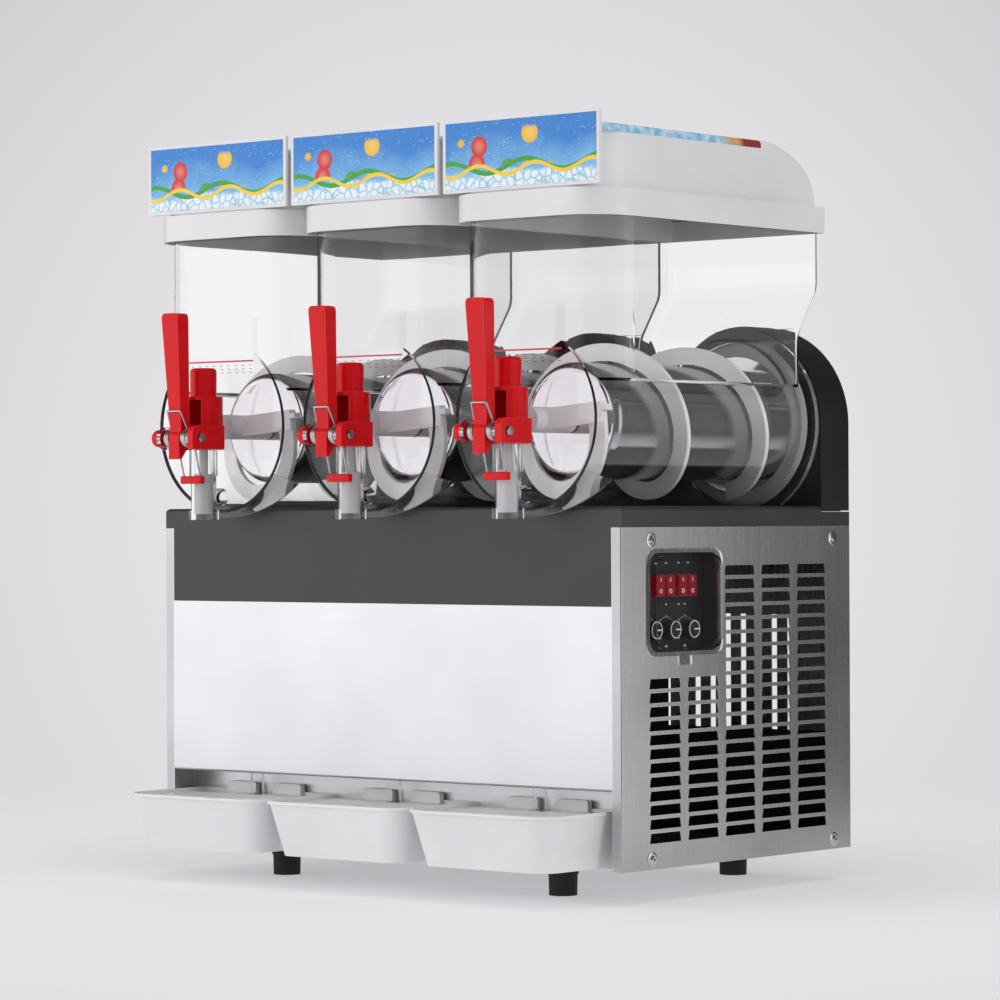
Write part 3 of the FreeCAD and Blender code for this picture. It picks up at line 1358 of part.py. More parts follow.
def make_drip_tray(station):
    outer = tray_block("tray_outer", "0")
    rim = new_body("tray_rim")
    pad(
        rim, "XY_Plane",
        lambda sketch: rounded_front(
            sketch, f"({TRAY_HALF} + Sizes.tray_rim_reach)", f"({TRAY_FRONT} - Sizes.tray_rim_reach)",
            TRAY_REAR, "(Sizes.tray_corner + Sizes.tray_rim_reach)",
        ),
        "Sizes.tray_top - Sizes.tray_rim_height", "Sizes.tray_top",
    )
    tabs = []
    for side in (-1, 1):
        tab = new_body("tray_tab")
        middle = f"{side} * (Sizes.tab_inner + Sizes.tab_width / 2)"
        pad(
            tab, "XZ_Plane",
            lambda sketch: rectangle(
                sketch, (f"{middle} - Sizes.tab_width / 2", f"{middle} + Sizes.tab_width / 2"),
                ("Sizes.grille_top - Sizes.grille_sheet - Sizes.tab_root", "Sizes.tab_top"),
            ),
            f"{TRAY_REAR} - Sizes.tab_depth", TRAY_REAR,
        )
        round_edges(tab, "Sizes.tab_round", lambda edge: (
            runs_along(edge, "y") and near(edge.BoundBox.ZMin, "Sizes.tab_top")
        ))
        tabs.append(tab)
    drain_notch = box(
        "drain_notch", ("-Sizes.tab_inner", "Sizes.tab_inner"),
        (f"{TRAY_REAR} - Sizes.tray_wall", TRAY_REAR), ("Sizes.drain_tip - Sizes.drain_notch", "Sizes.tray_top"),
    )
    space = joined("tray_space", [tray_block("tray_inner", "Sizes.tray_wall"), drain_notch])
    hollow = cut("tray_hollow", joined("tray_solid", [outer, rim]), space)
    tray = joined("tray", [hollow] + tabs)
    put(tray, x=station_x(station, TRAY_PITCH))
    piece(tray, f"drip_tray_{station}")


def make_drip_grille(station):
    body = new_body("grille")
    low = "(Sizes.grille_top - Sizes.grille_sheet)"
    taper = f"Sizes.tray_draft * (Sizes.tray_top - {low}) / (Sizes.tray_top - {TRAY_FLOOR})"
    inset = f"(Sizes.tray_wall + {taper} + Sizes.run_gap)"
    half = f"({TRAY_HALF} - {inset})"
    front = f"({TRAY_FRONT} + {inset})"
    rear = f"({TRAY_REAR} - Sizes.tab_depth - Sizes.run_gap)"
    pad(
        body, "XY_Plane", lambda sketch: rectangle(sketch, (f"-{half}", half), (front, rear)),
        low, "Sizes.grille_top",
    )
    round_edges(body, "Sizes.tray_corner", lambda edge: (
        runs_along(edge, "z") and near(edge.BoundBox.YMin, front)
    ))
    notch = "(Sizes.drain_tip_radius + Sizes.drain_notch)"
    drain_y = behind("Sizes.drain_axis")
    pocket(
        body, "XY_Plane",
        lambda sketch: rectangle(sketch, (f"-{notch}", notch), (f"{drain_y} - {notch}", rear)),
        low, "Sizes.grille_top",
    )
    slot_gap = "(Sizes.grille_slot_pitch - Sizes.grille_slot_width)"
    for side in (-1, 1):
        middle = f"{side} * (Sizes.grille_slot_length + {slot_gap}) / 2"
        slot = pocket(
            body, "XY_Plane",
            lambda sketch: rectangle(
                sketch,
                (f"{middle} - Sizes.grille_slot_length / 2", f"{middle} + Sizes.grille_slot_length / 2"),
                (f"{front} + Sizes.grille_slot_pitch",
                 f"{front} + Sizes.grille_slot_pitch + Sizes.grille_slot_width"),
            ),
            low, "Sizes.grille_top",
        )
        repeat(body, slot, "V_Axis", "Sizes.grille_slot_pitch", "Sizes.grille_slots")
    put(body, x=station_x(station, TRAY_PITCH))
    piece(body, f"drip_grille_{station}")


# ---- controls ---------------------------------------------------------------------------

CONTROL_Y = behind("Sizes.control_front")
CONTROL_MIDDLE = behind("Sizes.control_front + Sizes.control_width / 2")
CONTROL_FLOOR = f"({SIDE} - Sizes.sheet - Sizes.control_depth)"


def control_block(name, inset, start, end, corner):
    body = new_body(name)
    pad(
        body, "YZ_Plane",
        lambda sketch: rectangle(
            sketch,
            (f"{CONTROL_Y} + {inset}", f"{CONTROL_Y} + Sizes.control_width - {inset}"),
            (f"Sizes.control_bottom + {inset}", f"Sizes.control_bottom + Sizes.control_height - {inset}"),
        ),
        start, end,
    )
    round_edges(body, corner, lambda edge: runs_along(edge, "x"))
    return body


def rocker_places():
    """Middle of each rocker: one by itself, then two pairs."""
    step = "(Sizes.rocker_width + Sizes.rocker_gap)"
    return [
        f"({CONTROL_MIDDLE} - Sizes.rocker_single)",
        f"({CONTROL_MIDDLE} - {step})",
        CONTROL_MIDDLE,
        f"({CONTROL_MIDDLE} + Sizes.rocker_pair - {step})",
        f"({CONTROL_MIDDLE} + Sizes.rocker_pair)",
    ]


def knob_places():
    return [f"({CONTROL_MIDDLE} + {index} * Sizes.knob_spacing)" for index in (-1, 0, 1)]


def make_controls():
    wall_in = "(0 - Sizes.control_wall)"
    tub_open = f"({SIDE} - Sizes.sheet)"
    floor_face = f"({CONTROL_FLOOR} + Sizes.control_wall)"
    tub = control_block("tub", wall_in, CONTROL_FLOOR, tub_open, "Sizes.control_corner + Sizes.control_wall")
    holes = [control_block("tub_space", "0", floor_face, tub_open, "Sizes.control_corner")]
    for place in rocker_places():
        gap = "Sizes.rocker_play"
        holes.append(box(
            "rocker_hole", (CONTROL_FLOOR, floor_face),
            (f"{place} - Sizes.rocker_width / 2 - {gap}", f"{place} + Sizes.rocker_width / 2 + {gap}"),
            (f"Sizes.rocker_z - Sizes.rocker_height / 2 - {gap}",
             f"Sizes.rocker_z + Sizes.rocker_height / 2 + {gap}"),
        ))
    for place in knob_places():
        holes.append(rod(
            "stem_hole", "x", "Sizes.knob_stem_radius + Sizes.run_gap", CONTROL_FLOOR, floor_face,
            y=place, z="Sizes.knob_z",
        ))
    piece(cut("control_tub", tub, joined("tub_holes", holes)), "control_housing")
    for number, place in enumerate(rocker_places(), 1):
        piece(box(
            "rocker", (CONTROL_FLOOR, f"{CONTROL_FLOOR} + Sizes.rocker_depth"),
            (f"{place} - Sizes.rocker_width / 2", f"{place} + Sizes.rocker_width / 2"),
            ("Sizes.rocker_z - Sizes.rocker_height / 2", "Sizes.rocker_z + Sizes.rocker_height / 2"),
        ), f"rocker_switch_{number}")
    for number, place in enumerate(knob_places(), 1):
        cap_start = f"({floor_face} + Sizes.run_gap)"
        cap = rod(
            "knob_cap", "x", "Sizes.knob_radius", cap_start, f"{cap_start} + Sizes.knob_length",
            y=place, z="Sizes.knob_z",
        )
        stem = rod(
            "knob_stem", "x", "Sizes.knob_stem_radius", CONTROL_FLOOR, cap_start, y=place, z="Sizes.knob_z",
        )
        piece(joined("knob", [cap, stem]), f"thermostat_knob_{number}")


def make_control_cover():
    margin = "(0 - Sizes.cover_margin)"
    base = f"({SIDE} + Sizes.run_gap)"
    crown = f"({base} + Sizes.cover_bulge)"
    rim = control_block("cover_rim", margin, base, f"{base} + Sizes.cover_sheet", "Sizes.control_corner")
    bulge = control_block(
        "cover_bulge", "(Sizes.cover_rim - Sizes.cover_margin)", base, crown, "Sizes.control_corner"
    )
    space = control_block(
        "cover_space", "(Sizes.cover_rim - Sizes.cover_margin + Sizes.cover_sheet)", base,
        f"{crown} - Sizes.cover_sheet", "Sizes.control_corner - Sizes.cover_sheet",
    )
    tab = box(
        "cover_tab", (base, f"{base} + Sizes.cover_sheet"),
        (f"{CONTROL_MIDDLE} - Sizes.cover_tab", f"{CONTROL_MIDDLE} + Sizes.cover_tab"),
        ("Sizes.control_bottom - Sizes.cover_margin - Sizes.cover_tab",
         "Sizes.control_bottom - Sizes.cover_margin"),
    )
    piece(cut("cover", joined("cover_solid", [rim, bulge, tab]), space), "control_cover")


# ---- refrigeration ----------------------------------------------------------------------

def make_refrigeration():
    middle_y = f"({behind('Sizes.base_depth / 2')})"
    left = f"(0 - {SIDE} + Sizes.condenser_side)"
    fan_z = f"({FLOOR_TOP} + Sizes.condenser_height / 2)"
    centre = {"y": middle_y, "z": fan_z}
    inner = f"({left} + Sizes.condenser_depth)"
    shroud_end = f"({inner} + Sizes.fan_depth + 2 * Sizes.fan_gap)"
    width = (f"{middle_y} - Sizes.condenser_width / 2", f"{middle_y} + Sizes.condenser_width / 2")
    coil = box("coil_block", (left, inner), width, (FLOOR_TOP, f"{FLOOR_TOP} + Sizes.condenser_height"))
    shroud = box("shroud", (inner, shroud_end), width, (FLOOR_TOP, f"{FLOOR_TOP} + Sizes.condenser_height"))
    tunnel = rod("tunnel", "x", "Sizes.fan_radius + Sizes.fan_gap", inner, shroud_end, **centre)
    stub = rod("fan_axle", "x", "Sizes.shaft_radius", inner, shroud_end, **centre)
    piece(joined("condenser_block", [coil, cut("shroud_ring", shroud, tunnel), stub]), "condenser")

    start = f"({inner} + Sizes.fan_gap)"
    body = new_body("fan")
    pad(
        body, "YZ_Plane", lambda sketch: circle(sketch, "0", "0", "Sizes.fan_hub_radius"),
        "0", "Sizes.fan_depth",
    )
    blade = pad(
        body, "YZ_Plane", lambda sketch: polygon(sketch, [
            ("0", "Sizes.fan_hub_radius / 2"),
            ("Sizes.fan_hub_radius / 2", "Sizes.fan_hub_radius / 2"),
            ("Sizes.fan_radius / 2", "Sizes.fan_blade_heel"),
            ("0", "Sizes.fan_blade_tip"),
        ]), "Sizes.fan_blade_front", "Sizes.fan_blade_rear",
    )
    ring = body.newObject("PartDesign::PolarPattern", "fan_blades")
    ring.Originals = [blade]
    ring.Axis = (blade.Profile[0], ["N_Axis"])
    ring.Angle = 360
    ring.setExpression("Occurrences", "Sizes.fan_blades")
    body.Tip = ring
    doc.recompute()
    pocket(
        body, "YZ_Plane", lambda sketch: circle(sketch, "0", "0", "Sizes.shaft_radius + Sizes.run_gap"),
        "0", "Sizes.fan_depth",
    )
    put(body, x=start, **centre)
    piece(body, "condenser_fan")

    shell = new_body("compressor_shell")
    shoulder = f"({FLOOR_TOP} + Sizes.compressor_height - Sizes.compressor_round)"
    revolve(shell, "XZ_Plane", [
        ("0", FLOOR_TOP),
        ("Sizes.compressor_radius", FLOOR_TOP),
        ("Sizes.compressor_radius", shoulder),
        ("Sizes.compressor_radius - Sizes.compressor_round", f"{shoulder} + Sizes.compressor_round"),
        ("0", f"{shoulder} + Sizes.compressor_round"),
    ])
    put(shell, x="Sizes.compressor_x", y=middle_y)
    piece(shell, "compressor")


make_base_pan()
make_feet()
make_side_panels()
make_front_panels()
make_rear_panel()
make_top_deck()
make_rear_housing()
make_panel_screws()
make_evaporators()
make_bowl_seals()
make_gearmotors()
make_drain_tubes()
make_controls()
make_control_cover()
make_refrigeration()
for number in STATIONS:
    make_auger(number)
    make_bowl(number)
    make_lid(number)
    make_tap_body(number)
    make_tap_pivot(number)
    make_tap_piston(number)
    make_tap_lever(number)
    make_tap_spring(number)
    make_drip_tray(number)
    make_drip_grille(number)

doc.recompute()
faults = [item.Name for item in doc.Objects if "Invalid" in item.State or "Error" in item.State]
faults += [item.Label for item in pieces if item.Shape.isNull() or not item.Shape.isValid()]
if faults:
    raise RuntimeError(f"failed objects: {faults}")
os.makedirs("parts", exist_ok=True)
for item in pieces:
    item.Shape.exportStep(f"parts/{item.Label}.step")
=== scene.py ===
from math import cos, pi, radians, sin

import bmesh
import bpy
from mathutils import Matrix, Vector


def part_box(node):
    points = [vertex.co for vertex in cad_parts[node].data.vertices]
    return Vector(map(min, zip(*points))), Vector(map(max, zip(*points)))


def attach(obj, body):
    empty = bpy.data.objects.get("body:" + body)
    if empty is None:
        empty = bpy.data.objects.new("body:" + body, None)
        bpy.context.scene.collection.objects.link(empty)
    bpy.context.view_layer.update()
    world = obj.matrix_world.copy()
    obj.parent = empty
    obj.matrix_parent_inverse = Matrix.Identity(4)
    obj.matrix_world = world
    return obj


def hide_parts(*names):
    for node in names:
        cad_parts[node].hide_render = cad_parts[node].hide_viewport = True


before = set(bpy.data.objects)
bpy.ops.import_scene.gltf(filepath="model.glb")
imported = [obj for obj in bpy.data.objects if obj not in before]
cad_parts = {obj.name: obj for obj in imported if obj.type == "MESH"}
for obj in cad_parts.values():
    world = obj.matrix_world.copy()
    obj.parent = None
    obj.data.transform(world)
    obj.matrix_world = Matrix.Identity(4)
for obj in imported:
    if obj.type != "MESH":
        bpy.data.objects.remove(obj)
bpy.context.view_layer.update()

# ---- Studio -------------------------------------------------------------------------------
# A pale floor that runs into a pale backdrop. Soft lamps stand on the left, on the right and
# overhead. What shines mirrors a large white screen on the left front, a smaller one and a
# card on the right, and a dark room between them.
scene = bpy.context.scene
scene.view_settings.view_transform = "Standard"


def ink(red, green, blue):
    """A colour as it shows on a screen, 0 to 255, for a shader's socket."""
    linear = [((c / 255 + 0.055) / 1.055) ** 2.4 if c > 10 else c / 255 / 12.92 for c in (red, green, blue)]
    return (*linear, 1.0)


def add(tree, kind, sockets=None, **settings):
    """Adds a node. sockets maps its inputs to plain values or to the outputs that feed them."""
    made = tree.nodes.new(kind)
    for name, value in settings.items():
        setattr(made, name, value)
    for socket, value in (sockets or {}).items():
        if isinstance(value, bpy.types.NodeSocket):
            tree.links.new(value, made.inputs[socket])
        else:
            made.inputs[socket].default_value = value
    return made


def math(tree, operation, first, second=0.0, third=0.0):
    """The result of one sum on two or three values."""
    return add(tree, "ShaderNodeMath", {0: first, 1: second, 2: third}, operation=operation).outputs["Value"]


def span(tree, value, start, end, low=0.0, high=1.0, **settings):
    """A value carried from one range to another and held at its ends."""
    return add(tree, "ShaderNodeMapRange", {
        "Value": value, "From Min": start, "From Max": end, "To Min": low, "To Max": high,
    }, **settings).outputs["Result"]


CAMERA_PLACE = Vector((2.59495, -3.05672, 0.3717))
CAMERA_TURN = 39.95
CAMERA_TILT = 0.265
CAMERA_ROLL = -0.232
CAMERA_LENS = 139.62

camera = bpy.data.objects.new("studio_camera", bpy.data.cameras.new("studio_camera"))
camera.data.lens = CAMERA_LENS
camera.data.sensor_width = 36
camera.data.clip_end = 100
camera.matrix_world = (
    Matrix.Translation(CAMERA_PLACE)
    @ Matrix.Rotation(radians(CAMERA_TURN), 4, "Z")
    @ Matrix.Rotation(radians(90 + CAMERA_TILT), 4, "X")
    @ Matrix.Rotation(radians(CAMERA_ROLL), 4, "Z")
)
scene.collection.objects.link(camera)
scene.camera = camera

FLOOR_REACH = 40
FLOOR_DROP = 0.0002
FLOOR_FADE = (0.5, 2.2)
FLOOR_GLOW = 0.5
PALE = ink(224, 222, 225)

floor_form = bmesh.new()
bmesh.ops.create_circle(floor_form, cap_ends=True, segments=96, radius=FLOOR_REACH)
floor_mesh = bpy.data.meshes.new("studio_floor")
floor_form.to_mesh(floor_mesh)
floor_form.free()
studio_floor = bpy.data.objects.new("studio_floor", floor_mesh)
studio_floor.location.z = -FLOOR_DROP
scene.collection.objects.link(studio_floor)

floor_paint = bpy.data.materials.new("floor_paint")
floor_paint.use_nodes = True
tree = floor_paint.node_tree
paint = tree.nodes["Principled BSDF"]
paint.inputs["Base Color"].default_value = ink(186, 184, 187)
paint.inputs["Roughness"].default_value = 0.9
paint.inputs["Specular IOR Level"].default_value = 0.1
paint.inputs["Emission Color"].default_value = PALE
paint.inputs["Emission Strength"].default_value = FLOOR_GLOW
where = add(tree, "ShaderNodeNewGeometry").outputs["Position"]
far = add(tree, "ShaderNodeVectorMath", {0: where}, operation="LENGTH").outputs["Value"]
away = add(tree, "ShaderNodeBsdfTransparent")
blend = add(tree, "ShaderNodeMixShader", {
    "Fac": span(tree, far, *FLOOR_FADE, interpolation_type="SMOOTHSTEP"),
    1: paint.outputs["BSDF"], 2: away.outputs["BSDF"],
})
tree.links.new(blend.outputs["Shader"], tree.nodes["Material Output"].inputs["Surface"])
floor_mesh.materials.append(floor_paint)

# Each screen: the way to it, how squarely a ray must face it to begin and to be full, and its tone.
SCREENS = (
    ((-0.64, -0.77, 0.0), 0.45, 0.8, 1.0),
    ((0.94, 0.34, 0.0), 0.86, 0.99, 0.6),
)
SCREEN_TOP = (0.34, 0.66)
SCREEN_WHITE = 1.28
MIRROR_DARK = 0.07
BACKDROP_WAY = (-0.642, 0.767, 0.005)
BACKDROP_SPREAD = (0.983, 1.0)
ROOM_LIGHT = 0.5

studio = bpy.data.worlds.new("studio")
scene.world = studio
studio.use_nodes = True
tree = studio.node_tree
toward = add(tree, "ShaderNodeTexCoord").outputs["Generated"]
up = add(tree, "ShaderNodeSeparateXYZ", {"Vector": toward}).outputs["Z"]
screens = []
for way, start, end, white in SCREENS:
    facing = add(tree, "ShaderNodeVectorMath", {0: toward, 1: way}, operation="DOT_PRODUCT").outputs["Value"]
    screens.append(span(tree, facing, start, end, 0.0, white, interpolation_type="SMOOTHSTEP"))
lit = math(tree, "MAXIMUM", *screens)
under = span(tree, up, *SCREEN_TOP, 1.0, 0.0, interpolation_type="SMOOTHSTEP")
mirrored = span(tree, math(tree, "MULTIPLY", lit, under), 0.0, 1.0, MIRROR_DARK, SCREEN_WHITE)
shine = add(tree, "ShaderNodeBackground", {"Color": ink(250, 249, 252), "Strength": mirrored})

rays = add(tree, "ShaderNodeLightPath").outputs
central = add(tree, "ShaderNodeVectorMath", {0: toward, 1: BACKDROP_WAY}, operation="DOT_PRODUCT")
backdrop = add(tree, "ShaderNodeMix", {
    "Factor": span(tree, central.outputs["Value"], *BACKDROP_SPREAD),
    "A": ink(208, 206, 209), "B": ink(231, 229, 232),
}, data_type="RGBA")
behind = add(tree, "ShaderNodeMix", {
    "Factor": rays["Is Camera Ray"], "A": ink(250, 249, 251), "B": backdrop.outputs["Result"],
}, data_type="RGBA")
seen = add(tree, "ShaderNodeBackground", {"Color": behind.outputs["Result"]})
soft = add(tree, "ShaderNodeBackground", {"Color": (1, 1, 1, 1), "Strength": ROOM_LIGHT})

# A ray that has crossed no more than the two faces of one clear wall sees the plain backdrop.
crossed = math(tree, "GREATER_THAN", rays["Transmission Depth"], 0.5)
one_wall = math(tree, "MULTIPLY", crossed, math(tree, "LESS_THAN", rays["Transmission Depth"], 3.5))
bounced = math(tree, "GREATER_THAN", rays["Glossy Depth"], 0.5)
mirrors = math(tree, "MULTIPLY", bounced, math(tree, "SUBTRACT", 1.0, one_wall))
direct = math(tree, "MAXIMUM", rays["Is Camera Ray"], rays["Is Transmission Ray"])
plain = add(tree, "ShaderNodeMixShader", {
    "Fac": math(tree, "MAXIMUM", direct, one_wall),
    1: soft.outputs["Background"], 2: seen.outputs["Background"],
})
shown = add(tree, "ShaderNodeMixShader", {
    "Fac": mirrors, 1: plain.outputs["Shader"], 2: shine.outputs["Background"],
})
tree.links.new(shown.outputs["Shader"], tree.nodes["World Output"].inputs["Surface"])


def lamp(name, place, width, height, watts, mirrored=False):
    """A rectangular soft lamp that faces the machine, either to light it or to show in what shines."""
    light = bpy.data.lights.new(name, "AREA")
    light.shape = "RECTANGLE"
    light.size = width
    light.size_y = height
    light.energy = watts
    held = bpy.data.objects.new(name, light)
    held.location = place
    held.rotation_euler = (LAMP_AIM - Vector(place)).to_track_quat("-Z", "Y").to_euler()
    scene.collection.objects.link(held)
    held.visible_camera = False
    held.visible_transmission = False
    held.visible_glossy = mirrored
    held.visible_diffuse = not mirrored


LAMP_AIM = Vector((0, 0, 0.4))
lamp("left_lamp", (-2.6, -3.0, 1.0), 2.4, 2.4, 66)
lamp("right_lamp", (3.4, -1.0, 0.9), 1.2, 2.2, 30)
lamp("top_lamp", (0.2, -0.4, 3.4), 2.6, 2.0, 31)
lamp("right_card", (1.02, 0.42, 0.3), 0.5, 0.9, 1.3, mirrored=True)

# ---- Base pan and feet --------------------------------------------------------------------
# The base stands on a folded floor of stainless sheet, with one flat arm for each drip tray.
# Four ribbed rubber feet are screwed into it from below.


def effect(name, takes, gives):
    """An effect that several finishes share, as a group with named sockets."""
    group = bpy.data.node_groups.new(name, "ShaderNodeTree")
    for socket, kind, start in takes:
        group.interface.new_socket(socket, in_out="INPUT", socket_type=kind).default_value = start
    for socket, kind in gives:
        group.interface.new_socket(socket, in_out="OUTPUT", socket_type=kind)
    return group, group.nodes.new("NodeGroupInput").outputs, group.nodes.new("NodeGroupOutput").inputs


def brushed_effect():
    """Fine parallel marks of an abrasive belt, with slow clouds of tone between them."""
    group, given, result = effect(
        "brushed_grain",
        [("Stretch", "NodeSocketVector", (900, 900, 14)), ("Depth", "NodeSocketFloat", 0.1)],
        [("Streak", "NodeSocketFloat"), ("Cloud", "NodeSocketFloat"), ("Normal", "NodeSocketVector")],
    )
    place = add(group, "ShaderNodeTexCoord").outputs["Object"]
    drawn = add(group, "ShaderNodeMapping", {"Vector": place, "Scale": given["Stretch"]}).outputs["Vector"]
    marks = add(group, "ShaderNodeTexNoise", {"Vector": drawn, "Scale": 1.0, "Detail": 3.0}).outputs["Fac"]
    cloud = add(group, "ShaderNodeTexNoise", {"Vector": place, "Scale": 7.0, "Detail": 2.0}).outputs["Fac"]
    raised = add(group, "ShaderNodeBump", {"Strength": given["Depth"], "Distance": 0.0004, "Height": marks})
    group.links.new(marks, result["Streak"])
    group.links.new(cloud, result["Cloud"])
    group.links.new(raised.outputs["Normal"], result["Normal"])
    return group


def moulded_effect():
    """The skin of a moulding: a fine eggshell surface and a slow drift of tone."""
    group, given, result = effect(
        "moulded_skin",
        [("Grain", "NodeSocketFloat", 900.0), ("Depth", "NodeSocketFloat", 0.08)],
        [("Tone", "NodeSocketFloat"), ("Normal", "NodeSocketVector")],
    )
    place = add(group, "ShaderNodeTexCoord").outputs["Object"]
    skin = add(group, "ShaderNodeTexNoise", {"Vector": place, "Scale": given["Grain"], "Detail": 2.0})
    drift = add(group, "ShaderNodeTexNoise", {"Vector": place, "Scale": 11.0, "Detail": 4.0})
    raised = add(group, "ShaderNodeBump", {
        "Strength": given["Depth"], "Distance": 0.0003, "Height": skin.outputs["Fac"],
    })
    group.links.new(drift.outputs["Fac"], result["Tone"])
    group.links.new(raised.outputs["Normal"], result["Normal"])
    return group


def rubbed_effect():
    """Edges that hands and cloths have rubbed: 1 along an edge and 0 on the flats."""
    group, given, result = effect(
        "rubbed_edges", [("Width", "NodeSocketFloat", 0.0015)], [("Edge", "NodeSocketFloat")],
    )
    rounded = add(group, "ShaderNodeBevel", {"Radius": given["Width"]}, samples=4).outputs["Normal"]
    flat = add(group, "ShaderNodeNewGeometry").outputs["Normal"]
    same = add(group, "ShaderNodeVectorMath", {0: rounded, 1: flat}, operation="DOT_PRODUCT").outputs["Value"]
    group.links.new(span(group, same, 0.995, 0.86), result["Edge"])
    return group


def dust_effect():
    """Dust that settles on what faces up, thicker in patches."""
    group, given, result = effect(
        "settled_dust", [("Amount", "NodeSocketFloat", 0.3)], [("Mask", "NodeSocketFloat")],
    )
    surface = add(group, "ShaderNodeNewGeometry").outputs
    up = add(group, "ShaderNodeSeparateXYZ", {"Vector": surface["Normal"]}).outputs["Z"]
    patches = add(group, "ShaderNodeTexNoise", {"Vector": surface["Position"], "Scale": 34.0, "Detail": 5.0})
    thick = span(group, patches.outputs["Fac"], 0.35, 0.7)
    lying = math(group, "MULTIPLY", span(group, up, 0.5, 0.98), thick)
    group.links.new(math(group, "MULTIPLY", lying, given["Amount"]), result["Mask"])
    return group


BRUSHED = brushed_effect()
MOULDED = moulded_effect()
RUBBED = rubbed_effect()
DUST = dust_effect()
RUB_WIDTH = 0.0012
DUST_GREY = ink(176, 172, 168)


def finish(name, roughness, **values):
    """A new finish with one Principled shader, its plain sockets set by name."""
    made = bpy.data.materials.new(name)
    made.use_nodes = True
    shader = made.node_tree.nodes["Principled BSDF"]
    shader.inputs["Roughness"].default_value = roughness
    for socket, value in values.items():
        shader.inputs[socket.replace("_", " ")].default_value = value
    return made, made.node_tree, shader.inputs


def shared(tree, group, **values):
    """Places a shared effect in a finish with its own values, and gives back its outputs."""
    return add(tree, "ShaderNodeGroup", values, node_tree=group).outputs


def mixed(tree, mask, first, second):
    """One colour passing into another by a mask."""
    mix = add(tree, "ShaderNodeMix", {"Factor": mask, "A": first, "B": second}, data_type="RGBA")
    return mix.outputs["Result"]


def ranged(tree, noise, low, high):
    """A noise brought into a range of its own."""
    return span(tree, noise, 0.25, 0.75, low, high)


def steel(name, dark, light, smooth, rough, stretch, depth, **values):
    """Stainless sheet or tube: streaks and clouds in its colour and roughness, bright edges."""
    made, tree, inputs = finish(name, rough, Metallic=1.0, **values)
    grain = shared(tree, BRUSHED, Stretch=stretch, Depth=depth)
    body = mixed(tree, ranged(tree, grain["Cloud"], 0.0, 1.0), dark, light)
    streaked = mixed(tree, ranged(tree, grain["Streak"], 0.0, 0.35), body, light)
    edge = shared(tree, RUBBED, Width=RUB_WIDTH)["Edge"]
    tree.links.new(mixed(tree, edge, streaked, ink(240, 240, 242)), inputs["Base Color"])
    tree.links.new(ranged(tree, grain["Streak"], smooth, rough), inputs["Roughness"])
    tree.links.new(grain["Normal"], inputs["Normal"])
    return made


def moulded(name, dark, light, roughness, grain, depth, rub=None, dust=0.0, **values):
    """Moulded plastic or rubber: a drift of tone, an eggshell skin, rubbed edges and dust."""
    made, tree, inputs = finish(name, roughness, **values)
    skin = shared(tree, MOULDED, Grain=grain, Depth=depth)
    colour = mixed(tree, ranged(tree, skin["Tone"], 0.0, 1.0), dark, light)
    if rub:
        colour = mixed(tree, shared(tree, RUBBED, Width=RUB_WIDTH)["Edge"], colour, rub)
    if dust:
        colour = mixed(tree, shared(tree, DUST, Amount=dust)["Mask"], colour, DUST_GREY)
    tree.links.new(colour, inputs["Base Color"])
    tree.links.new(ranged(tree, skin["Tone"], roughness * 0.85, roughness * 1.15), inputs["Roughness"])
    tree.links.new(skin["Normal"], inputs["Normal"])
    return made


def dress(node, made):
    """Gives a carried-over piece its finish."""
    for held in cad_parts[node].material_slots:
        held.material = made


inner_steel = steel(
    "inner_steel", ink(176, 176, 178), ink(206, 206, 208), 0.34, 0.46, (500, 30, 500), 0.06,
)
foot_rubber = moulded(
    "foot_rubber", ink(17, 16, 17), ink(30, 29, 30), 0.72, 700.0, 0.3, rub=ink(52, 50, 51),
)
dress("base_pan", inner_steel)
dress("feet", foot_rubber)

# ---- Side panels --------------------------------------------------------------------------
# Stainless sheet, brushed upright, folded round the front corners and punched with rows of
# louvres. The right panel has the opening for the controls.

side_steel = steel(
    "side_steel", ink(176, 175, 177), ink(206, 205, 207), 0.24, 0.29, (1100, 1100, 9), 0.03, Anisotropic=0.3,
)
dress("side_panel_left", side_steel)
dress("side_panel_right", side_steel)

# ---- Front, lower and rear panels, screws -------------------------------------------------
# The front panel is a lighter sheet, brushed sideways. A set-back panel closes the recess
# over the drip trays. Button-headed screws with washers and six-sided sockets hold the side
# panels; each socket is a flat dark patch, painted shade in its hollow. A dark sheet inside
# the rear panel is painted shade for the dim inside of the cabinet.

front_steel = steel(
    "front_steel", ink(222, 221, 223), ink(236, 235, 237), 0.3, 0.42, (9, 1100, 1100), 0.06,
)
screw_steel = steel(
    "screw_steel", ink(190, 190, 192), ink(225, 225, 227), 0.14, 0.24, (600, 600, 600), 0.05,
)
dress("front_panel", front_steel)
dress("lower_front_panel", front_steel)
dress("rear_panel", side_steel)
dress("panel_screws", screw_steel)
FRONT_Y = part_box("front_panel")[0].y


def stand(name, form, made, body, place=(0, 0, 0)):
    """Turns a drawn form into a piece that rides on a body and takes its finish from a slot."""
    mesh = bpy.data.meshes.new(name)
    form.to_mesh(mesh)
    form.free()
    mesh.materials.append(made)
    stood = bpy.data.objects.new(name, mesh)
    stood.location = place
    scene.collection.objects.link(stood)
    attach(stood, body)
    return stood


def smooth(form, sharp=40):
    """Shades a form smooth, apart from edges sharper than an angle."""
    for face in form.faces:
        face.smooth = True
    for edge in form.edges:
        if len(edge.link_faces) == 2 and edge.calc_face_angle(0) > radians(sharp):
            edge.smooth = False
    return form


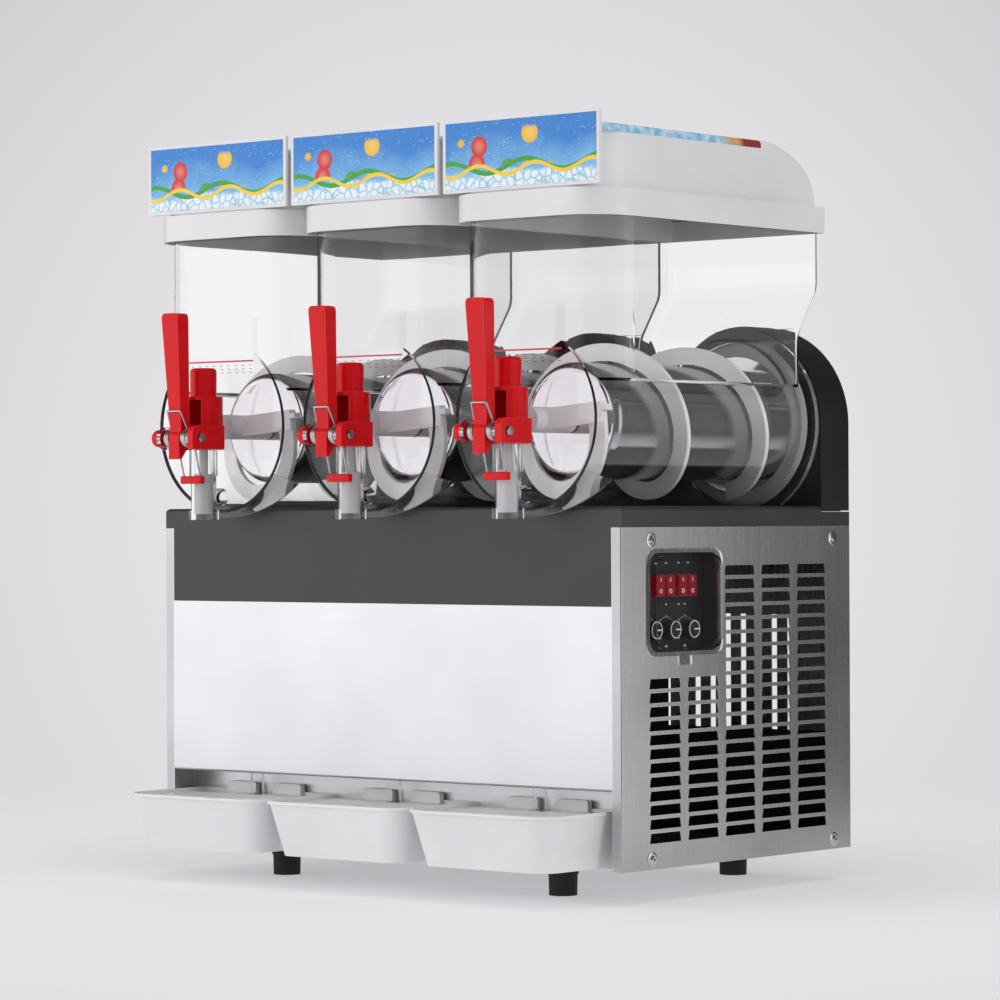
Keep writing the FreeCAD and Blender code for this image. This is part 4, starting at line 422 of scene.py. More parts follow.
def loft(sections, closed=False, capped=True):
    """Skins rings of points, each with as many points as the last."""
    form = bmesh.new()
    rings = [[form.verts.new(point) for point in section] for section in sections]
    for near, far in zip(rings, rings[1:] + rings[:1] if closed else rings[1:]):
        for i in range(len(near)):
            form.faces.new((near[i - 1], near[i], far[i], far[i - 1]))
    if capped and not closed:
        form.faces.new(rings[0][::-1])
        form.faces.new(rings[-1])
    bmesh.ops.recalc_face_normals(form, faces=form.faces)
    return form


def turned(profile, centre, axis, sides=48, closed=False):
    """A form turned round an axis, from pairs of place along it and radius."""
    ways = {"x": ((0, 1, 0), (0, 0, 1)), "y": ((0, 0, 1), (1, 0, 0)), "z": ((1, 0, 0), (0, 1, 0))}
    one, two = (Vector(way) for way in ways[axis])
    out = one.cross(two)
    sections = []
    for along, radius in profile:
        middle = Vector(centre) + out * along
        sections.append([
            middle + radius * (one * cos(2 * pi * i / sides) + two * sin(2 * pi * i / sides))
            for i in range(sides)
        ])
    return loft(sections, closed)


PANEL_FACE = 0.305
SCREW_FACE = 0.30781
SCREW_DEPTHS = (0.0475, 0.351)
SCREW_HEIGHTS = (0.0417, 0.350)
SOCKET_RADIUS = 0.0016
SOCKET_SIDES = 6
WASHER_THICK = 0.0006
WASHER_EDGE = 0.0003
WASHER_INNER = 0.005
WASHER_OUTER = 0.0072
# The six-sided sockets are flat dark patches on the screw heads: painted shade in the hollow of each socket.
socket_hollow_painted_shade = moulded("socket_hollow_painted_shade", ink(20, 20, 21), ink(34, 34, 35), 0.5, 900.0, 0.1)
for side, name in ((-1, "left"), (1, "right")):
    sockets = bmesh.new()
    for row, depth in enumerate(SCREW_DEPTHS):
        for column, height in enumerate(SCREW_HEIGHTS):
            top = side * WASHER_THICK
            washer = turned([
                (0, WASHER_INNER), (0, WASHER_OUTER), (top * 0.7, WASHER_OUTER),
                (top, WASHER_OUTER - WASHER_EDGE), (top, WASHER_INNER),
            ], (side * PANEL_FACE, FRONT_Y + depth, height), "x", 40, closed=True)
            stand(f"washer_{name}_{row}{column}", smooth(washer), screw_steel, "cabinet")
            cup = bmesh.ops.create_circle(
                sockets, cap_ends=True, segments=SOCKET_SIDES, radius=SOCKET_RADIUS,
            )["verts"]
            place = Matrix.Translation((side * SCREW_FACE, FRONT_Y + depth, height))
            bmesh.ops.transform(sockets, matrix=place @ Matrix.Rotation(side * pi / 2, 4, "Y"), verts=cup)
    stand(f"screw_sockets_{name}", sockets, socket_hollow_painted_shade, "cabinet")

# A dark sheet on the inside of the rear panel: painted shade for the dim inside of the cabinet behind the
# louvres.
SHIELD_LEFT = -0.05
SHIELD_STEP = 0.072
SHIELD_RIGHT = 0.29
SHIELD_BOTTOM = 0.036
SHIELD_SHOULDER = 0.15
SHIELD_TOP = 0.355
SHIELD_DEPTHS = (0.2338, 0.2346)
rear_inside_painted_shade = moulded("rear_inside_painted_shade", ink(24, 23, 25), ink(36, 35, 37), 0.5, 900.0, 0.1, dust=0.1)
outline = (
    (SHIELD_LEFT, SHIELD_BOTTOM), (SHIELD_RIGHT, SHIELD_BOTTOM), (SHIELD_RIGHT, SHIELD_SHOULDER),
    (SHIELD_STEP, SHIELD_SHOULDER), (SHIELD_STEP, SHIELD_TOP), (SHIELD_LEFT, SHIELD_TOP),
)
rear_shade_sheet = loft([[Vector((x, y, z)) for x, z in outline] for y in SHIELD_DEPTHS])
stand("rear_shade_sheet", rear_shade_sheet, rear_inside_painted_shade, "cabinet")

# ---- Deck ---------------------------------------------------------------------------------
# A dark grey moulding that wraps the top of the base. Its front drops as a plain fascia, and
# shallow troughs in its top take the bottoms of the bowls.

grey_fascia = moulded(
    "grey_fascia", ink(44, 42, 44), ink(54, 52, 54), 0.36, 1400.0, 0.1, rub=ink(84, 82, 84),
)
dress("top_deck", grey_fascia)

# ---- Rear housing -------------------------------------------------------------------------
# Black moulding behind the bowls, with three arches and a cover on its back.

black_plastic = moulded(
    "black_plastic", ink(22, 20, 23), ink(32, 30, 33), 0.34, 1200.0, 0.12, rub=ink(62, 60, 63), dust=0.06,
)
dress("rear_housing", black_plastic)

# ---- Refrigeration ------------------------------------------------------------------------
# Behind the louvres: a finned coil, the fan that draws air through it and a black compressor.

motor_metal = moulded(
    "motor_metal", ink(30, 30, 32), ink(46, 46, 48), 0.4, 500.0, 0.2, rub=ink(96, 96, 98), dust=0.3,
)
fan_plastic = moulded(
    "fan_plastic", ink(214, 213, 215), ink(232, 231, 233), 0.4, 900.0, 0.1, dust=0.25,
)
# The light bands are the fins; the dark bands between them are painted shade in the gaps of the coil. The
# bump gives the fins their relief.
coil_fins, tree, inputs = finish("coil_fins", 0.4, Metallic=1.0)
place = add(tree, "ShaderNodeTexCoord").outputs["Object"]
fin_and_gap_shade_bands = add(tree, "ShaderNodeTexWave", {
    "Vector": place, "Scale": 130.0, "Distortion": 0.4,
}, bands_direction="Y")
tree.links.new(mixed(tree, fin_and_gap_shade_bands.outputs["Fac"], ink(40, 40, 42), ink(170, 170, 172)), inputs["Base Color"])
relief = add(tree, "ShaderNodeBump", {"Strength": 0.7, "Distance": 0.002, "Height": fin_and_gap_shade_bands.outputs["Fac"]})
tree.links.new(relief.outputs["Normal"], inputs["Normal"])
dress("condenser", coil_fins)
dress("condenser_fan", fan_plastic)
dress("compressor", motor_metal)
dress("gearmotors", motor_metal)

# ---- Evaporators and seals ----------------------------------------------------------------
# One polished stainless barrel reaches into each bowl and carries the cold. Its marks run
# round it, as the lathe left them. A soft seal sits on the stepped collar at its rear.

barrel_steel = steel(
    "barrel_steel", ink(204, 203, 206), ink(228, 227, 230), 0.05, 0.12, (3, 1300, 3), 0.2,
)
seal_rubber = moulded(
    "seal_rubber", ink(150, 148, 150), ink(176, 174, 176), 0.45, 900.0, 0.15,
)
dress("evaporator_barrels", barrel_steel)
dress("bowl_seals", seal_rubber)

# ---- Augers -------------------------------------------------------------------------------
# A white helical scraper turns round each barrel, driven by a shaft through its middle.

auger_plastic = moulded(
    "auger_plastic", ink(222, 221, 222), ink(236, 235, 236), 0.38, 700.0, 0.06, Subsurface_Weight=0.15,
    Subsurface_Scale=0.004,
)
STATIONS = (1, 2, 3)
for station in STATIONS:
    dress(f"auger_{station}", auger_plastic)
    dress(f"drive_shaft_{station}", barrel_steel)

# ---- Bowls --------------------------------------------------------------------------------
# Clear moulded bowls, round below and square above. The thick edge of each front disc is
# drawn as a dark line, painted shade that stands in for the dark inside seen through the clear
# edge, and a thin red level line with short strokes is printed above the disc. A clear skirt
# leads drips from the bottom of the disc to the right; its outer edge is drawn as a grey
# line, painted shade of the same kind.


def clear(name, tint, roughness, refraction):
    """Clear plastic that bends light and lets the lamps through to what it holds."""
    made, tree, inputs = finish(name, roughness, Transmission_Weight=1.0, IOR=refraction)
    place = add(tree, "ShaderNodeTexCoord").outputs["Object"]
    drift = add(tree, "ShaderNodeTexNoise", {"Vector": place, "Scale": 9.0, "Detail": 2.0}).outputs["Fac"]
    tree.links.new(mixed(tree, drift, tint, ink(255, 255, 255)), inputs["Base Color"])
    scuffs = add(tree, "ShaderNodeTexNoise", {"Vector": place, "Scale": 60.0, "Detail": 5.0}).outputs["Fac"]
    tree.links.new(span(tree, scuffs, 0.55, 0.85, roughness, roughness + 0.04), inputs["Roughness"])
    path = add(tree, "ShaderNodeLightPath").outputs["Is Shadow Ray"]
    through = add(tree, "ShaderNodeBsdfTransparent", {"Color": (0.96, 0.96, 0.96, 1)}).outputs["BSDF"]
    both = add(tree, "ShaderNodeMixShader", {
        "Fac": path, 1: tree.nodes["Principled BSDF"].outputs["BSDF"], 2: through,
    })
    tree.links.new(both.outputs["Shader"], tree.nodes["Material Output"].inputs["Surface"])
    return made


def bar(low, high, edge, steps=3):
    """A block with its edges rounded."""
    form = bmesh.new()
    low, high = Vector(low), Vector(high)
    bmesh.ops.create_cube(form, size=1.0)
    for corner in form.verts:
        corner.co = [(low[i] + high[i]) / 2 + corner.co[i] * (high[i] - low[i]) for i in range(3)]
    bmesh.ops.bevel(form, geom=list(form.edges), offset=edge, segments=steps, profile=0.5, affect="EDGES")
    return form


def line_along(points, half, thin=None):
    """A round or flattened rod that follows points and tapers toward both ends."""
    sections = []
    for i, point in enumerate(points):
        ahead = points[min(i + 1, len(points) - 1)] - points[max(i - 1, 0)]
        side = ahead.cross(Vector((0, 1, 0))).normalized()
        other = ahead.cross(side).normalized()
        size = half * min(1.0, 0.15 + 6 * i / len(points), 0.15 + 6 * (len(points) - 1 - i) / len(points))
        sections.append([
            point + side * (size * cos(a)) + other * ((thin or size) * sin(a))
            for a in (2 * pi * k / 10 for k in range(10))
        ])
    return smooth(loft(sections))


def about_axis(middle, y, radius, degrees):
    """A point round a bowl's axis, with its angle counted from the right."""
    return Vector((middle + radius * cos(radians(degrees)), y, AXIS_Z + radius * sin(radians(degrees))))


def between(ends, share):
    """The value a share of the way from one end to the other."""
    return ends[0] + (ends[1] - ends[0]) * share


def middle_of(node):
    """The middle of a carried-over piece's box."""
    low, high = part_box(node)
    return (low + high) / 2


def print_patch(form, corners):
    """One flat printed patch, added to a form."""
    form.faces.new([form.verts.new(corner) for corner in corners])


AXIS_Z = 0.467
DISC_Y = FRONT_Y - 0.0205
DISC_RADIUS = 0.08865
DISC_EDGE = 0.0024
DISC_EDGE_HALF_DEPTH = 0.0006
DISC_EDGE_STAND = 0.0002
DISC_EDGE_RUN = (140, 406)
DISC_EDGE_STEPS = 80
SKIRT_STEPS = 32
SKIRT_ROOT = 0.0006
SKIRT_TURNS = (-96, -34)
SKIRT_RADII = (0.0935, 0.106)
SKIRT_DEPTHS = (0.0018, 0.023)
SKIRT_THICK = 0.0009
HEM_HALF = 0.0006
LEVEL_Z = 0.5345
LEVEL_HALF = 0.046
LEVEL_THICK = 0.0017
PRINT_STAND = 0.00015
PRINT_SINK = 0.0001
PRINT_EDGE = 0.00005
STROKE_DROPS = (0.0042, 0.0078, 0.0114)
STROKE_COUNT = 9
STROKE_START = 0.004
STROKE_STAGGER = 0.001
STROKE_PITCH = 0.0102
STROKE_LONG = 0.0036
STROKE_TALL = 0.0006

clear_bowl = clear("clear_bowl", ink(254, 254, 254), 0.0, 1.4)
# The dark disc line and the grey hem below are painted shade along the thick clear edges of the disc and the
# skirt.
disc_rim_painted_shade = moulded("disc_rim_painted_shade", ink(20, 19, 21), ink(38, 37, 39), 0.2, 800.0, 0.02)
level_red = moulded("level_red", ink(205, 70, 78), ink(222, 96, 102), 0.5, 900.0, 0.02)
level_grey = moulded("level_grey", ink(70, 68, 72), ink(104, 102, 106), 0.5, 900.0, 0.02)
hem_painted_shade = moulded("hem_painted_shade", ink(84, 83, 86), ink(132, 130, 134), 0.3, 900.0, 0.02)

for station in STATIONS:
    body = f"bowl_{station}"
    dress(body, clear_bowl)
    middle = middle_of(body).x

    ring = []
    for i in range(DISC_EDGE_STEPS + 1):
        turn = between(DISC_EDGE_RUN, i / DISC_EDGE_STEPS)
        ring.append(about_axis(middle, DISC_Y - DISC_EDGE_STAND, DISC_RADIUS - DISC_EDGE / 2, turn))
    edge = line_along(ring, DISC_EDGE / 2, DISC_EDGE_HALF_DEPTH)
    stand(f"disc_rim_shade_{station}", edge, disc_rim_painted_shade, body)

    skirt, hem = [], []
    for i in range(SKIRT_STEPS + 1):
        share = i / SKIRT_STEPS
        turn = between(SKIRT_TURNS, share)
        inner = about_axis(middle, DISC_Y + SKIRT_ROOT, DISC_RADIUS, turn)
        outer_y = DISC_Y + between(SKIRT_DEPTHS, share ** 1.3)
        outer = about_axis(middle, outer_y, between(SKIRT_RADII, share ** 2), turn)
        thick = Vector((0, SKIRT_THICK, 0))
        skirt.append([inner, outer, outer + thick, inner + thick])
        hem.append(outer + thick / 2)
    stand(f"drip_skirt_{station}", smooth(loft(skirt)), clear_bowl, body)
    # The grey line along the skirt's outer edge is painted shade: the clear edge looks dark, and this rod
    # stands in for that.
    stand(f"skirt_rim_shade_{station}", line_along(hem, HEM_HALF), hem_painted_shade, body)

    level_line = bar(
        (middle - LEVEL_HALF, DISC_Y - PRINT_STAND, LEVEL_Z - LEVEL_THICK / 2),
        (middle + LEVEL_HALF, DISC_Y + PRINT_SINK, LEVEL_Z + LEVEL_THICK / 2), PRINT_EDGE, 1,
    )
    stand(f"level_line_{station}", level_line, level_red, body)
    strokes = bmesh.new()
    for row, drop in enumerate(STROKE_DROPS):
        for k in range(STROKE_COUNT):
            left = middle - LEVEL_HALF + STROKE_START + k * STROKE_PITCH + row * STROKE_STAGGER
            right, upper = left + STROKE_LONG, LEVEL_Z - drop
            lower = upper - STROKE_TALL
            corners = ((left, upper), (left, lower), (right, lower), (right, upper))
            print_patch(strokes, [(x, DISC_Y - PRINT_STAND, z) for x, z in corners])
    stand(f"level_strokes_{station}", strokes, level_grey, body)

# ---- Lids and signs -----------------------------------------------------------------------
# White moulded lids, each with an upright sign board along its front. The sign carries a
# plain pattern of ribbons and drops over pale blue ice, printed on a card behind its frame,
# and a printed strip runs back along the upper edge of the lid's right side.

white_plastic = moulded(
    "white_plastic", ink(222, 221, 223), ink(232, 231, 233), 0.32, 900.0, 0.03, Subsurface_Weight=0.05,
    Subsurface_Scale=0.002,
)

# The sign, from the back of the picture to the front: water that pales toward the bottom,
# glints in it, cracked ice along the foot, round drops in three colours, and two ribbons.
DROP_EDGE = (0.37, 0.34)
# Each ribbon: its height, how far it swings, how many waves, half its width, and its colour.
RIBBONS = (
    (-0.013, 0.006, 66.0, 0.0022, ink(60, 158, 52)),
    (-0.016, 0.005, 88.0, 0.0018, ink(244, 206, 60)),
)
sign_print, tree, inputs = finish("sign_print", 0.3)
local = add(tree, "ShaderNodeTexCoord").outputs["Object"]
apart = add(tree, "ShaderNodeSeparateXYZ", {"Vector": local}).outputs
height = span(tree, apart["Z"], -0.030, 0.030)
clouds = add(tree, "ShaderNodeTexNoise", {"Vector": local, "Scale": 26.0, "Detail": 4.0}).outputs["Fac"]
deep = span(tree, math(tree, "MULTIPLY_ADD", clouds, 0.9, height), 0.35, 1.25)
water = mixed(tree, deep, ink(142, 206, 240), ink(52, 128, 206))
glints = add(tree, "ShaderNodeTexVoronoi", {"Vector": local, "Scale": 260.0}).outputs["Distance"]
water = mixed(tree, span(tree, glints, 0.2, 0.1, 0.0, 0.7), water, ink(206, 234, 250))
cells = add(tree, "ShaderNodeTexVoronoi", {"Vector": local, "Scale": 120.0}, feature="DISTANCE_TO_EDGE")
ice = mixed(tree, span(tree, cells.outputs["Distance"], 0.02, 0.12), ink(150, 196, 224), ink(232, 243, 249))
ragged = math(tree, "MULTIPLY_ADD", clouds, -0.02, apart["Z"])
print_colour = mixed(tree, span(tree, ragged, -0.031, -0.027, 1.0, 0.0), water, ice)
drops = add(tree, "ShaderNodeTexVoronoi", {"Vector": local, "Scale": 34.0, "Randomness": 0.7})
in_band = math(tree, "MULTIPLY", span(tree, apart["Z"], -0.014, -0.010), span(tree, apart["Z"], 0.026, 0.022))
dotted = math(tree, "MULTIPLY", span(tree, drops.outputs["Distance"], *DROP_EDGE), in_band)
hue = add(tree, "ShaderNodeSeparateColor", {"Color": drops.outputs["Color"]}).outputs["Red"]
warm = mixed(tree, math(tree, "GREATER_THAN", hue, 0.36), ink(208, 40, 34), ink(240, 190, 30))
dot_colour = mixed(tree, math(tree, "GREATER_THAN", hue, 0.68), warm, ink(70, 160, 44))
lighter = span(tree, drops.outputs["Distance"], 0.0, 0.3, 0.3, 0.0)
shaded = mixed(tree, lighter, dot_colour, ink(255, 240, 220))
print_colour = mixed(tree, dotted, print_colour, shaded)
for lift, swing, pitch, width, shade in RIBBONS:
    wave = math(tree, "SINE", math(tree, "MULTIPLY_ADD", apart["X"], pitch, lift * 400))
    ribbon = math(tree, "MULTIPLY_ADD", wave, swing, lift)
    gap = math(tree, "ABSOLUTE", math(tree, "SUBTRACT", apart["Z"], ribbon))
    print_colour = mixed(tree, span(tree, gap, width * 1.15, width), print_colour, shade)
tree.links.new(print_colour, inputs["Base Color"])
tree.links.new(span(tree, clouds, 0.3, 0.7, 0.24, 0.36), inputs["Roughness"])

AMBER_RUN = (0.196, 0.214)
RED_RUN = (0.226, 0.236)
strip_print, tree, inputs = finish("strip_print", 0.3)
local = add(tree, "ShaderNodeTexCoord").outputs["Object"]
along = add(tree, "ShaderNodeSeparateXYZ", {"Vector": local}).outputs["Y"]
flecks = add(tree, "ShaderNodeTexNoise", {"Vector": local, "Scale": 90.0, "Detail": 4.0}).outputs["Fac"]
pale = mixed(tree, span(tree, flecks, 0.4, 0.62), ink(128, 190, 226), ink(196, 222, 238))
ended = mixed(tree, span(tree, along, *AMBER_RUN), pale, ink(206, 168, 108))
ended = mixed(tree, span(tree, along, *RED_RUN), ended, ink(150, 52, 50))
tree.links.new(ended, inputs["Base Color"])
tree.links.new(span(tree, flecks, 0.3, 0.7, 0.24, 0.36), inputs["Roughness"])

SIGN_Y = FRONT_Y - 0.0265
SIGN_HALF = 0.0945
SIGN_BOTTOM = 0.690
SIGN_MARGIN = 0.0035
CARD_HALF_THICK = 0.0004
CROWN_HALF = 0.0935
ROOF_Z = 0.750
ROOF_ROUND = 0.005
STRIP_HALF_THICK = 0.0001
STRIP_DROP = 0.0032
STRIP_START = FRONT_Y - 0.024
STRIP_END = FRONT_Y + 0.240

for station in STATIONS:
    body = f"lid_{station}"
    dress(body, white_plastic)
    middle, top = middle_of(body).x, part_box(body)[1].z
    corner = Vector((SIGN_HALF, CARD_HALF_THICK, (top - SIGN_BOTTOM) / 2 - SIGN_MARGIN))
    card = bar(-corner, corner, CARD_HALF_THICK / 4, 1)
    card_middle = (middle, SIGN_Y, (top + SIGN_BOTTOM) / 2)
    stand(f"sign_card_{station}", card, sign_print, body, card_middle)

    start = Vector((middle + CROWN_HALF, STRIP_START, ROOF_Z - ROOF_ROUND))
    outline = [(0, -STRIP_DROP)] + [
        (ROOF_ROUND * (cos(radians(turn)) - 1), ROOF_ROUND * sin(radians(turn)))
        for turn in range(0, 80, 10)
    ]
    sections = []
    for y in (0, STRIP_END - STRIP_START):
        outer = [Vector((x + STRIP_HALF_THICK, y, z + STRIP_HALF_THICK / 2)) for x, z in outline]
        inner = [Vector((x - STRIP_HALF_THICK, y, z - STRIP_HALF_THICK)) for x, z in reversed(outline)]
        sections.append(outer + inner)
    stand(f"lid_strip_{station}", smooth(loft(sections)), strip_print, body, start)

# ---- Taps ---------------------------------------------------------------------------------
# A red moulded block on a clear spout. The handle turns on a bolt in front of it and lifts
# the piston. Wire coils on the bolt press a red bar against the spout and push the handle up.

red_plastic = moulded(
    "red_plastic", ink(204, 8, 16), ink(218, 14, 24), 0.26, 900.0, 0.05, rub=ink(226, 60, 66),
    Specular_IOR_Level=0.25,
)
spring_steel = steel(
    "spring_steel", ink(186, 186, 188), ink(220, 220, 222), 0.16, 0.26, (700, 700, 700), 0.04,
)
piston_plastic = moulded("piston_plastic", ink(168, 166, 170), ink(196, 194, 198), 0.3, 800.0, 0.1)
clear_washer = clear("clear_washer", ink(232, 214, 226), 0.02, 1.4)

# The pivot, with profiles as pairs of distance out from the ear and radius.
PIVOT_Y = FRONT_Y - 0.0805
PIVOT_Z = 0.4545
EAR_OUTER = 0.030
EAR_INNER = 0.023
DOME_PROFILE = ((0, 0.0086), (0.002, 0.0087), (0.0038, 0.0076), (0.0047, 0.0052), (0.005, 0.002))
BOLT_RADIUS = 0.0029
NUT_PROFILE = ((-0.002, 0.0049), (0.0014, 0.0049), (0.002, 0.0043))
WASHER_GAP = 0.0001
WASHER_WIDE = 0.005
WASHER_BEVEL = 0.0006
WASHER_HOLE = 0.0032
WASHER_RIM = (0.0115, 0.0116)
# The front of the handle, which the spring's bail follows.
HANDLE_TOP = 0.582
HANDLE_LEAN = 0.009
HANDLE_FRONT = 0.0064
HANDLE_FOOT_HALF = 0.00725
HANDLE_HEAD_HALF = 0.0115
# The spring and its bar, with the bar's corners measured from the pivot and its height from the table.
WIRE = 0.001
COIL_MIDDLE = 0.0086
COIL_START = 0.00885
COIL_RUN = 0.006
COIL_TURNS = 4
COIL_STEPS = 20
LEG_SIDE = 0.0115
LEG_BEND = (0.0004, -0.012)
LEG_TUCK = 0.002
BAIL_GAP = 0.0012
BAIL_CORNER = 0.001
BAIL_Z = 0.482
BAR_LOW = (-0.015, 0.0145, 0.408)
BAR_HIGH = (0.015, 0.0205, 0.416)
BAR_EDGE = 0.0012
BAR_BACK = 0.003


def wire(name, points, body, bent=True):
    """Round spring wire along a line of points."""
    line = bpy.data.curves.new(name, "CURVE")
    line.dimensions = "3D"
    line.bevel_depth = WIRE
    line.bevel_resolution = 3
    line.resolution_u = 6
    line.use_fill_caps = True
    run = line.splines.new("NURBS" if bent else "POLY")
    run.points.add(len(points) - 1)
    for spot, point in zip(run.points, points):
        spot.co = (*point, 1)
    if bent:
        run.order_u = 3
        run.use_endpoint_u = True
    drawn = bpy.data.objects.new(name, line)
    mesh = bpy.data.meshes.new_from_object(drawn)
    bpy.data.objects.remove(drawn)
    for face in mesh.polygons:
        face.use_smooth = True
    mesh.materials.clear()
    mesh.materials.append(spring_steel)
    made = bpy.data.objects.new(name, mesh)
    scene.collection.objects.link(made)
    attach(made, body)
    return made


lean = (BAIL_Z - PIVOT_Z) / (HANDLE_TOP - PIVOT_Z)
face_y = -HANDLE_FRONT - HANDLE_LEAN * lean - BAIL_GAP
half = between((HANDLE_FOOT_HALF, HANDLE_HEAD_HALF), lean) + BAIL_GAP
rise = BAIL_Z - PIVOT_Z
bail_half = [
    (0, face_y, rise + 0.0002), (half - BAIL_CORNER, face_y, rise + 0.0002), (half, face_y, rise),
    (half, face_y + BAIL_CORNER, rise - BAIL_CORNER), (LEG_SIDE - 0.0003, -0.003, 0.0125),
    (LEG_SIDE, -0.0005, COIL_MIDDLE),
]
bail = [(-x, y, z) for x, y, z in reversed(bail_half[1:])] + bail_half

for station in STATIONS:
    body = f"bowl_{station}"
    dress(f"tap_body_{station}", red_plastic)
    dress(f"tap_lever_{station}", red_plastic)
    dress(f"tap_piston_{station}", piston_plastic)
    middle = middle_of(f"tap_body_{station}").x
    pivot = Vector((middle, PIVOT_Y, PIVOT_Z))

    dome = turned([(-EAR_OUTER - out, radius) for out, radius in DOME_PROFILE], pivot, "x")
    head = stand(f"pivot_head_{station}", smooth(dome, 50), red_plastic, body)
    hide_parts(f"tap_pivot_{station}")
    bolt = turned([(-EAR_OUTER, BOLT_RADIUS), (EAR_OUTER + 0.0015, BOLT_RADIUS)], pivot, "x", 24)
    stand(f"pivot_bolt_{station}", smooth(bolt), screw_steel, body)
    nut = turned([(EAR_OUTER + out, radius) for out, radius in NUT_PROFILE], pivot, "x", 6)
    stand(f"pivot_nut_{station}", nut, screw_steel, body)

    for side, name in ((-1, "left"), (1, "right")):
        inner = side * (EAR_INNER - WASHER_GAP)
        outer = side * (EAR_INNER - WASHER_GAP - WASHER_WIDE)
        bevel = side * WASHER_BEVEL
        washer = turned([
            (inner, WASHER_RIM[0]), (inner - bevel, WASHER_RIM[1]), (outer + bevel, WASHER_RIM[1]),
            (outer, WASHER_RIM[0]), (outer, WASHER_HOLE), (inner, WASHER_HOLE),
        ], pivot, "x", closed=True)
        stand(f"pivot_washer_{name}_{station}", smooth(washer, 35), clear_washer, body)

    bar_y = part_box(f"tap_spring_{station}")[1].y - BAR_BACK
    for side, name in ((-1, "left"), (1, "right")):
        path = []
        for i in range(COIL_TURNS * COIL_STEPS + 1):
            turn = 2 * pi * i / COIL_STEPS
            across = side * (COIL_START + COIL_RUN * i / (COIL_TURNS * COIL_STEPS))
            path.append(pivot + Vector((across, COIL_MIDDLE * cos(turn), COIL_MIDDLE * sin(turn))))
        wire(f"spring_coil_{name}_{station}", path, body, False)
        wire(f"spring_leg_{name}_{station}", [
            pivot + Vector((side * LEG_SIDE, COIL_MIDDLE, 0)),
            pivot + Vector((side * LEG_SIDE, COIL_MIDDLE + LEG_BEND[0], LEG_BEND[1])),
            Vector((middle + side * LEG_SIDE, bar_y, BAR_HIGH[2] - LEG_TUCK)),
        ], body)
    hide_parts(f"tap_spring_{station}")
    ends = [Vector((middle + x, PIVOT_Y + y, z)) for x, y, z in (BAR_LOW, BAR_HIGH)]
    stand(f"spring_bar_{station}", smooth(bar(*ends, BAR_EDGE), 50), red_plastic, body)
    wire(f"spring_bail_{station}", [pivot + Vector(point) for point in bail], f"lever_{station}")

# ---- Drip trays, grilles and drain tubes --------------------------------------------------
# White tapered trays slide on the base's arms under the taps. A slotted grille drops into
# each, and a clear drain tube comes down between its two rear tabs.

clear_tube = clear("clear_tube", ink(244, 244, 246), 0.02, 1.35)
for station in STATIONS:
    dress(f"drip_tray_{station}", white_plastic)
    dress(f"drip_grille_{station}", white_plastic)
dress("drain_tubes", clear_tube)

# ---- Controls -----------------------------------------------------------------------------
# A black tub behind the opening in the right panel holds five lit rockers and three knobs,
# with white marks printed round them. A bulged clear cover swings over it.

MARK_SINK = 0.0003
MARK_STAND = 0.00015
MARK_EDGE = 0.0001
ON_MARK_HALF = 0.0004
ON_MARK_DROPS = (0.0068, 0.0028)
OFF_MARK_RISE = 0.0052
OFF_MARK_RADII = (0.0021, 0.0015)
POINTER_HALF = 0.0006
POINTER_LONG = 0.0078
RIM_RADII = (0.0084, 0.0077)
PLATE_FACE = 0.2819
DIAL_TURNS = (-45, 225)
DIAL_TICKS = 18
DIAL_RADIUS = 0.0118
TICK_HALF = 0.00035
TICK_SHORT = 0.0011
TICK_LONG = 0.0022
rocker_red = moulded(
    "rocker_red", ink(112, 8, 16), ink(142, 14, 24), 0.2, 600.0, 0.04,
    Emission_Color=ink(190, 20, 30), Emission_Strength=0.05,
)
mark_white = moulded("mark_white", ink(214, 214, 216), ink(232, 232, 234), 0.5, 900.0, 0.03)
clear_cover = clear("clear_cover", ink(240, 240, 242), 0.0, 1.12)
dress("control_housing", black_plastic)
dress("control_cover", clear_cover)


def bar_mark(name, x, depths, heights, body):
    """A straight white mark let into a face that looks right."""
    low = (x - MARK_SINK, min(depths), min(heights))
    high = (x + MARK_STAND, max(depths), max(heights))
    stand(name, bar(low, high, MARK_EDGE, 1), mark_white, body)


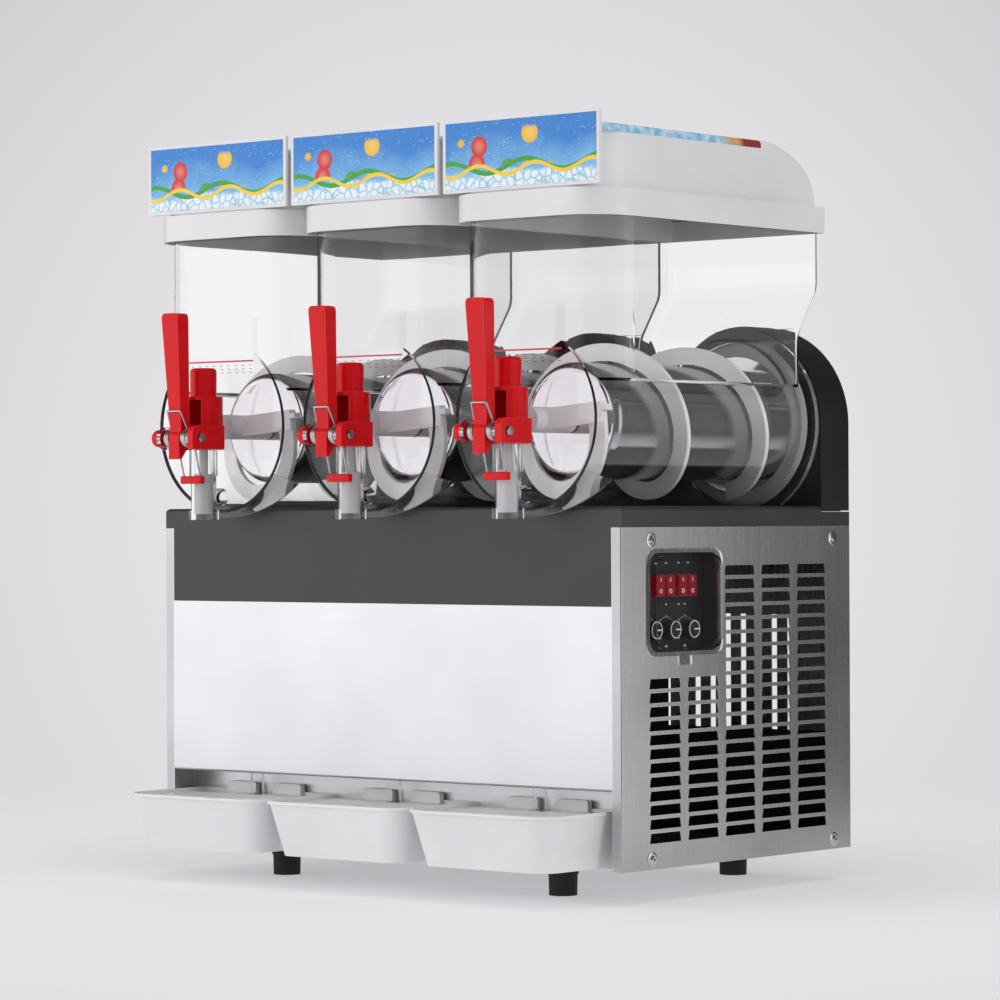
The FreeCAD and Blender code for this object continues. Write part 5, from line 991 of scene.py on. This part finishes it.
def ring_mark(name, centre, radii, sides, body):
    """A round white mark let into a face that looks right."""
    outer, inner = radii
    ring = turned(
        [(-MARK_SINK, outer), (MARK_STAND, outer), (MARK_STAND, inner), (-MARK_SINK, inner)],
        centre, "x", sides, closed=True,
    )
    stand(name, ring, mark_white, body)


rocker_places = []
for number in range(1, 6):
    node, body = f"rocker_switch_{number}", f"rocker_{number}"
    dress(node, rocker_red)
    low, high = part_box(node)
    y = middle_of(node).y
    rocker_places.append(y)
    depths = (y - ON_MARK_HALF, y + ON_MARK_HALF)
    bar_mark(f"rocker_on_mark_{number}", high.x, depths, [high.z - drop for drop in ON_MARK_DROPS], body)
    ring_mark(f"rocker_off_mark_{number}", (high.x, y, low.z + OFF_MARK_RISE), OFF_MARK_RADII, 24, body)

knob_places = []
plate_print = bmesh.new()
for number in range(1, 4):
    node, body = f"thermostat_knob_{number}", f"knob_{number}"
    dress(node, black_plastic)
    face, (y, z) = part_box(node)[1].x, middle_of(node).yz
    knob_places.append(y)
    heights = (z - POINTER_HALF, z + POINTER_HALF)
    bar_mark(f"knob_pointer_{number}", face, (y, y + POINTER_LONG), heights, body)
    ring_mark(f"knob_rim_{number}", (face, y, z), RIM_RADII, 40, body)
    for i in range(DIAL_TICKS + 1):
        turn = radians(between(DIAL_TURNS, i / DIAL_TICKS))
        way = Vector((cos(turn), sin(turn)))
        wide = way.orthogonal() * TICK_HALF
        near = Vector((y, z)) + way * DIAL_RADIUS
        far = near + way * (TICK_SHORT if i % 3 else TICK_LONG)
        corners = (near - wide, far - wide, far + wide, near + wide)
        print_patch(plate_print, [(PLATE_FACE, *corner) for corner in corners])

# Each row of plain patches on the plate: its height, their width and height, and their places.
PRINT_ROWS = (
    (0.3270, 0.0030, 0.0013, rocker_places),
    (0.2865, 0.0022, 0.0013, knob_places + rocker_places[3:4]),
    (0.2455, 0.0036, 0.0018, knob_places),
)
for z, wide, tall, places in PRINT_ROWS:
    for y in places:
        left, right, lower, upper = y - wide / 2, y + wide / 2, z - tall / 2, z + tall / 2
        corners = ((left, lower), (right, lower), (right, upper), (left, upper))
        print_patch(plate_print, [(PLATE_FACE, *corner) for corner in corners])
stand("dial_marks", plate_print, mark_white, "cabinet")
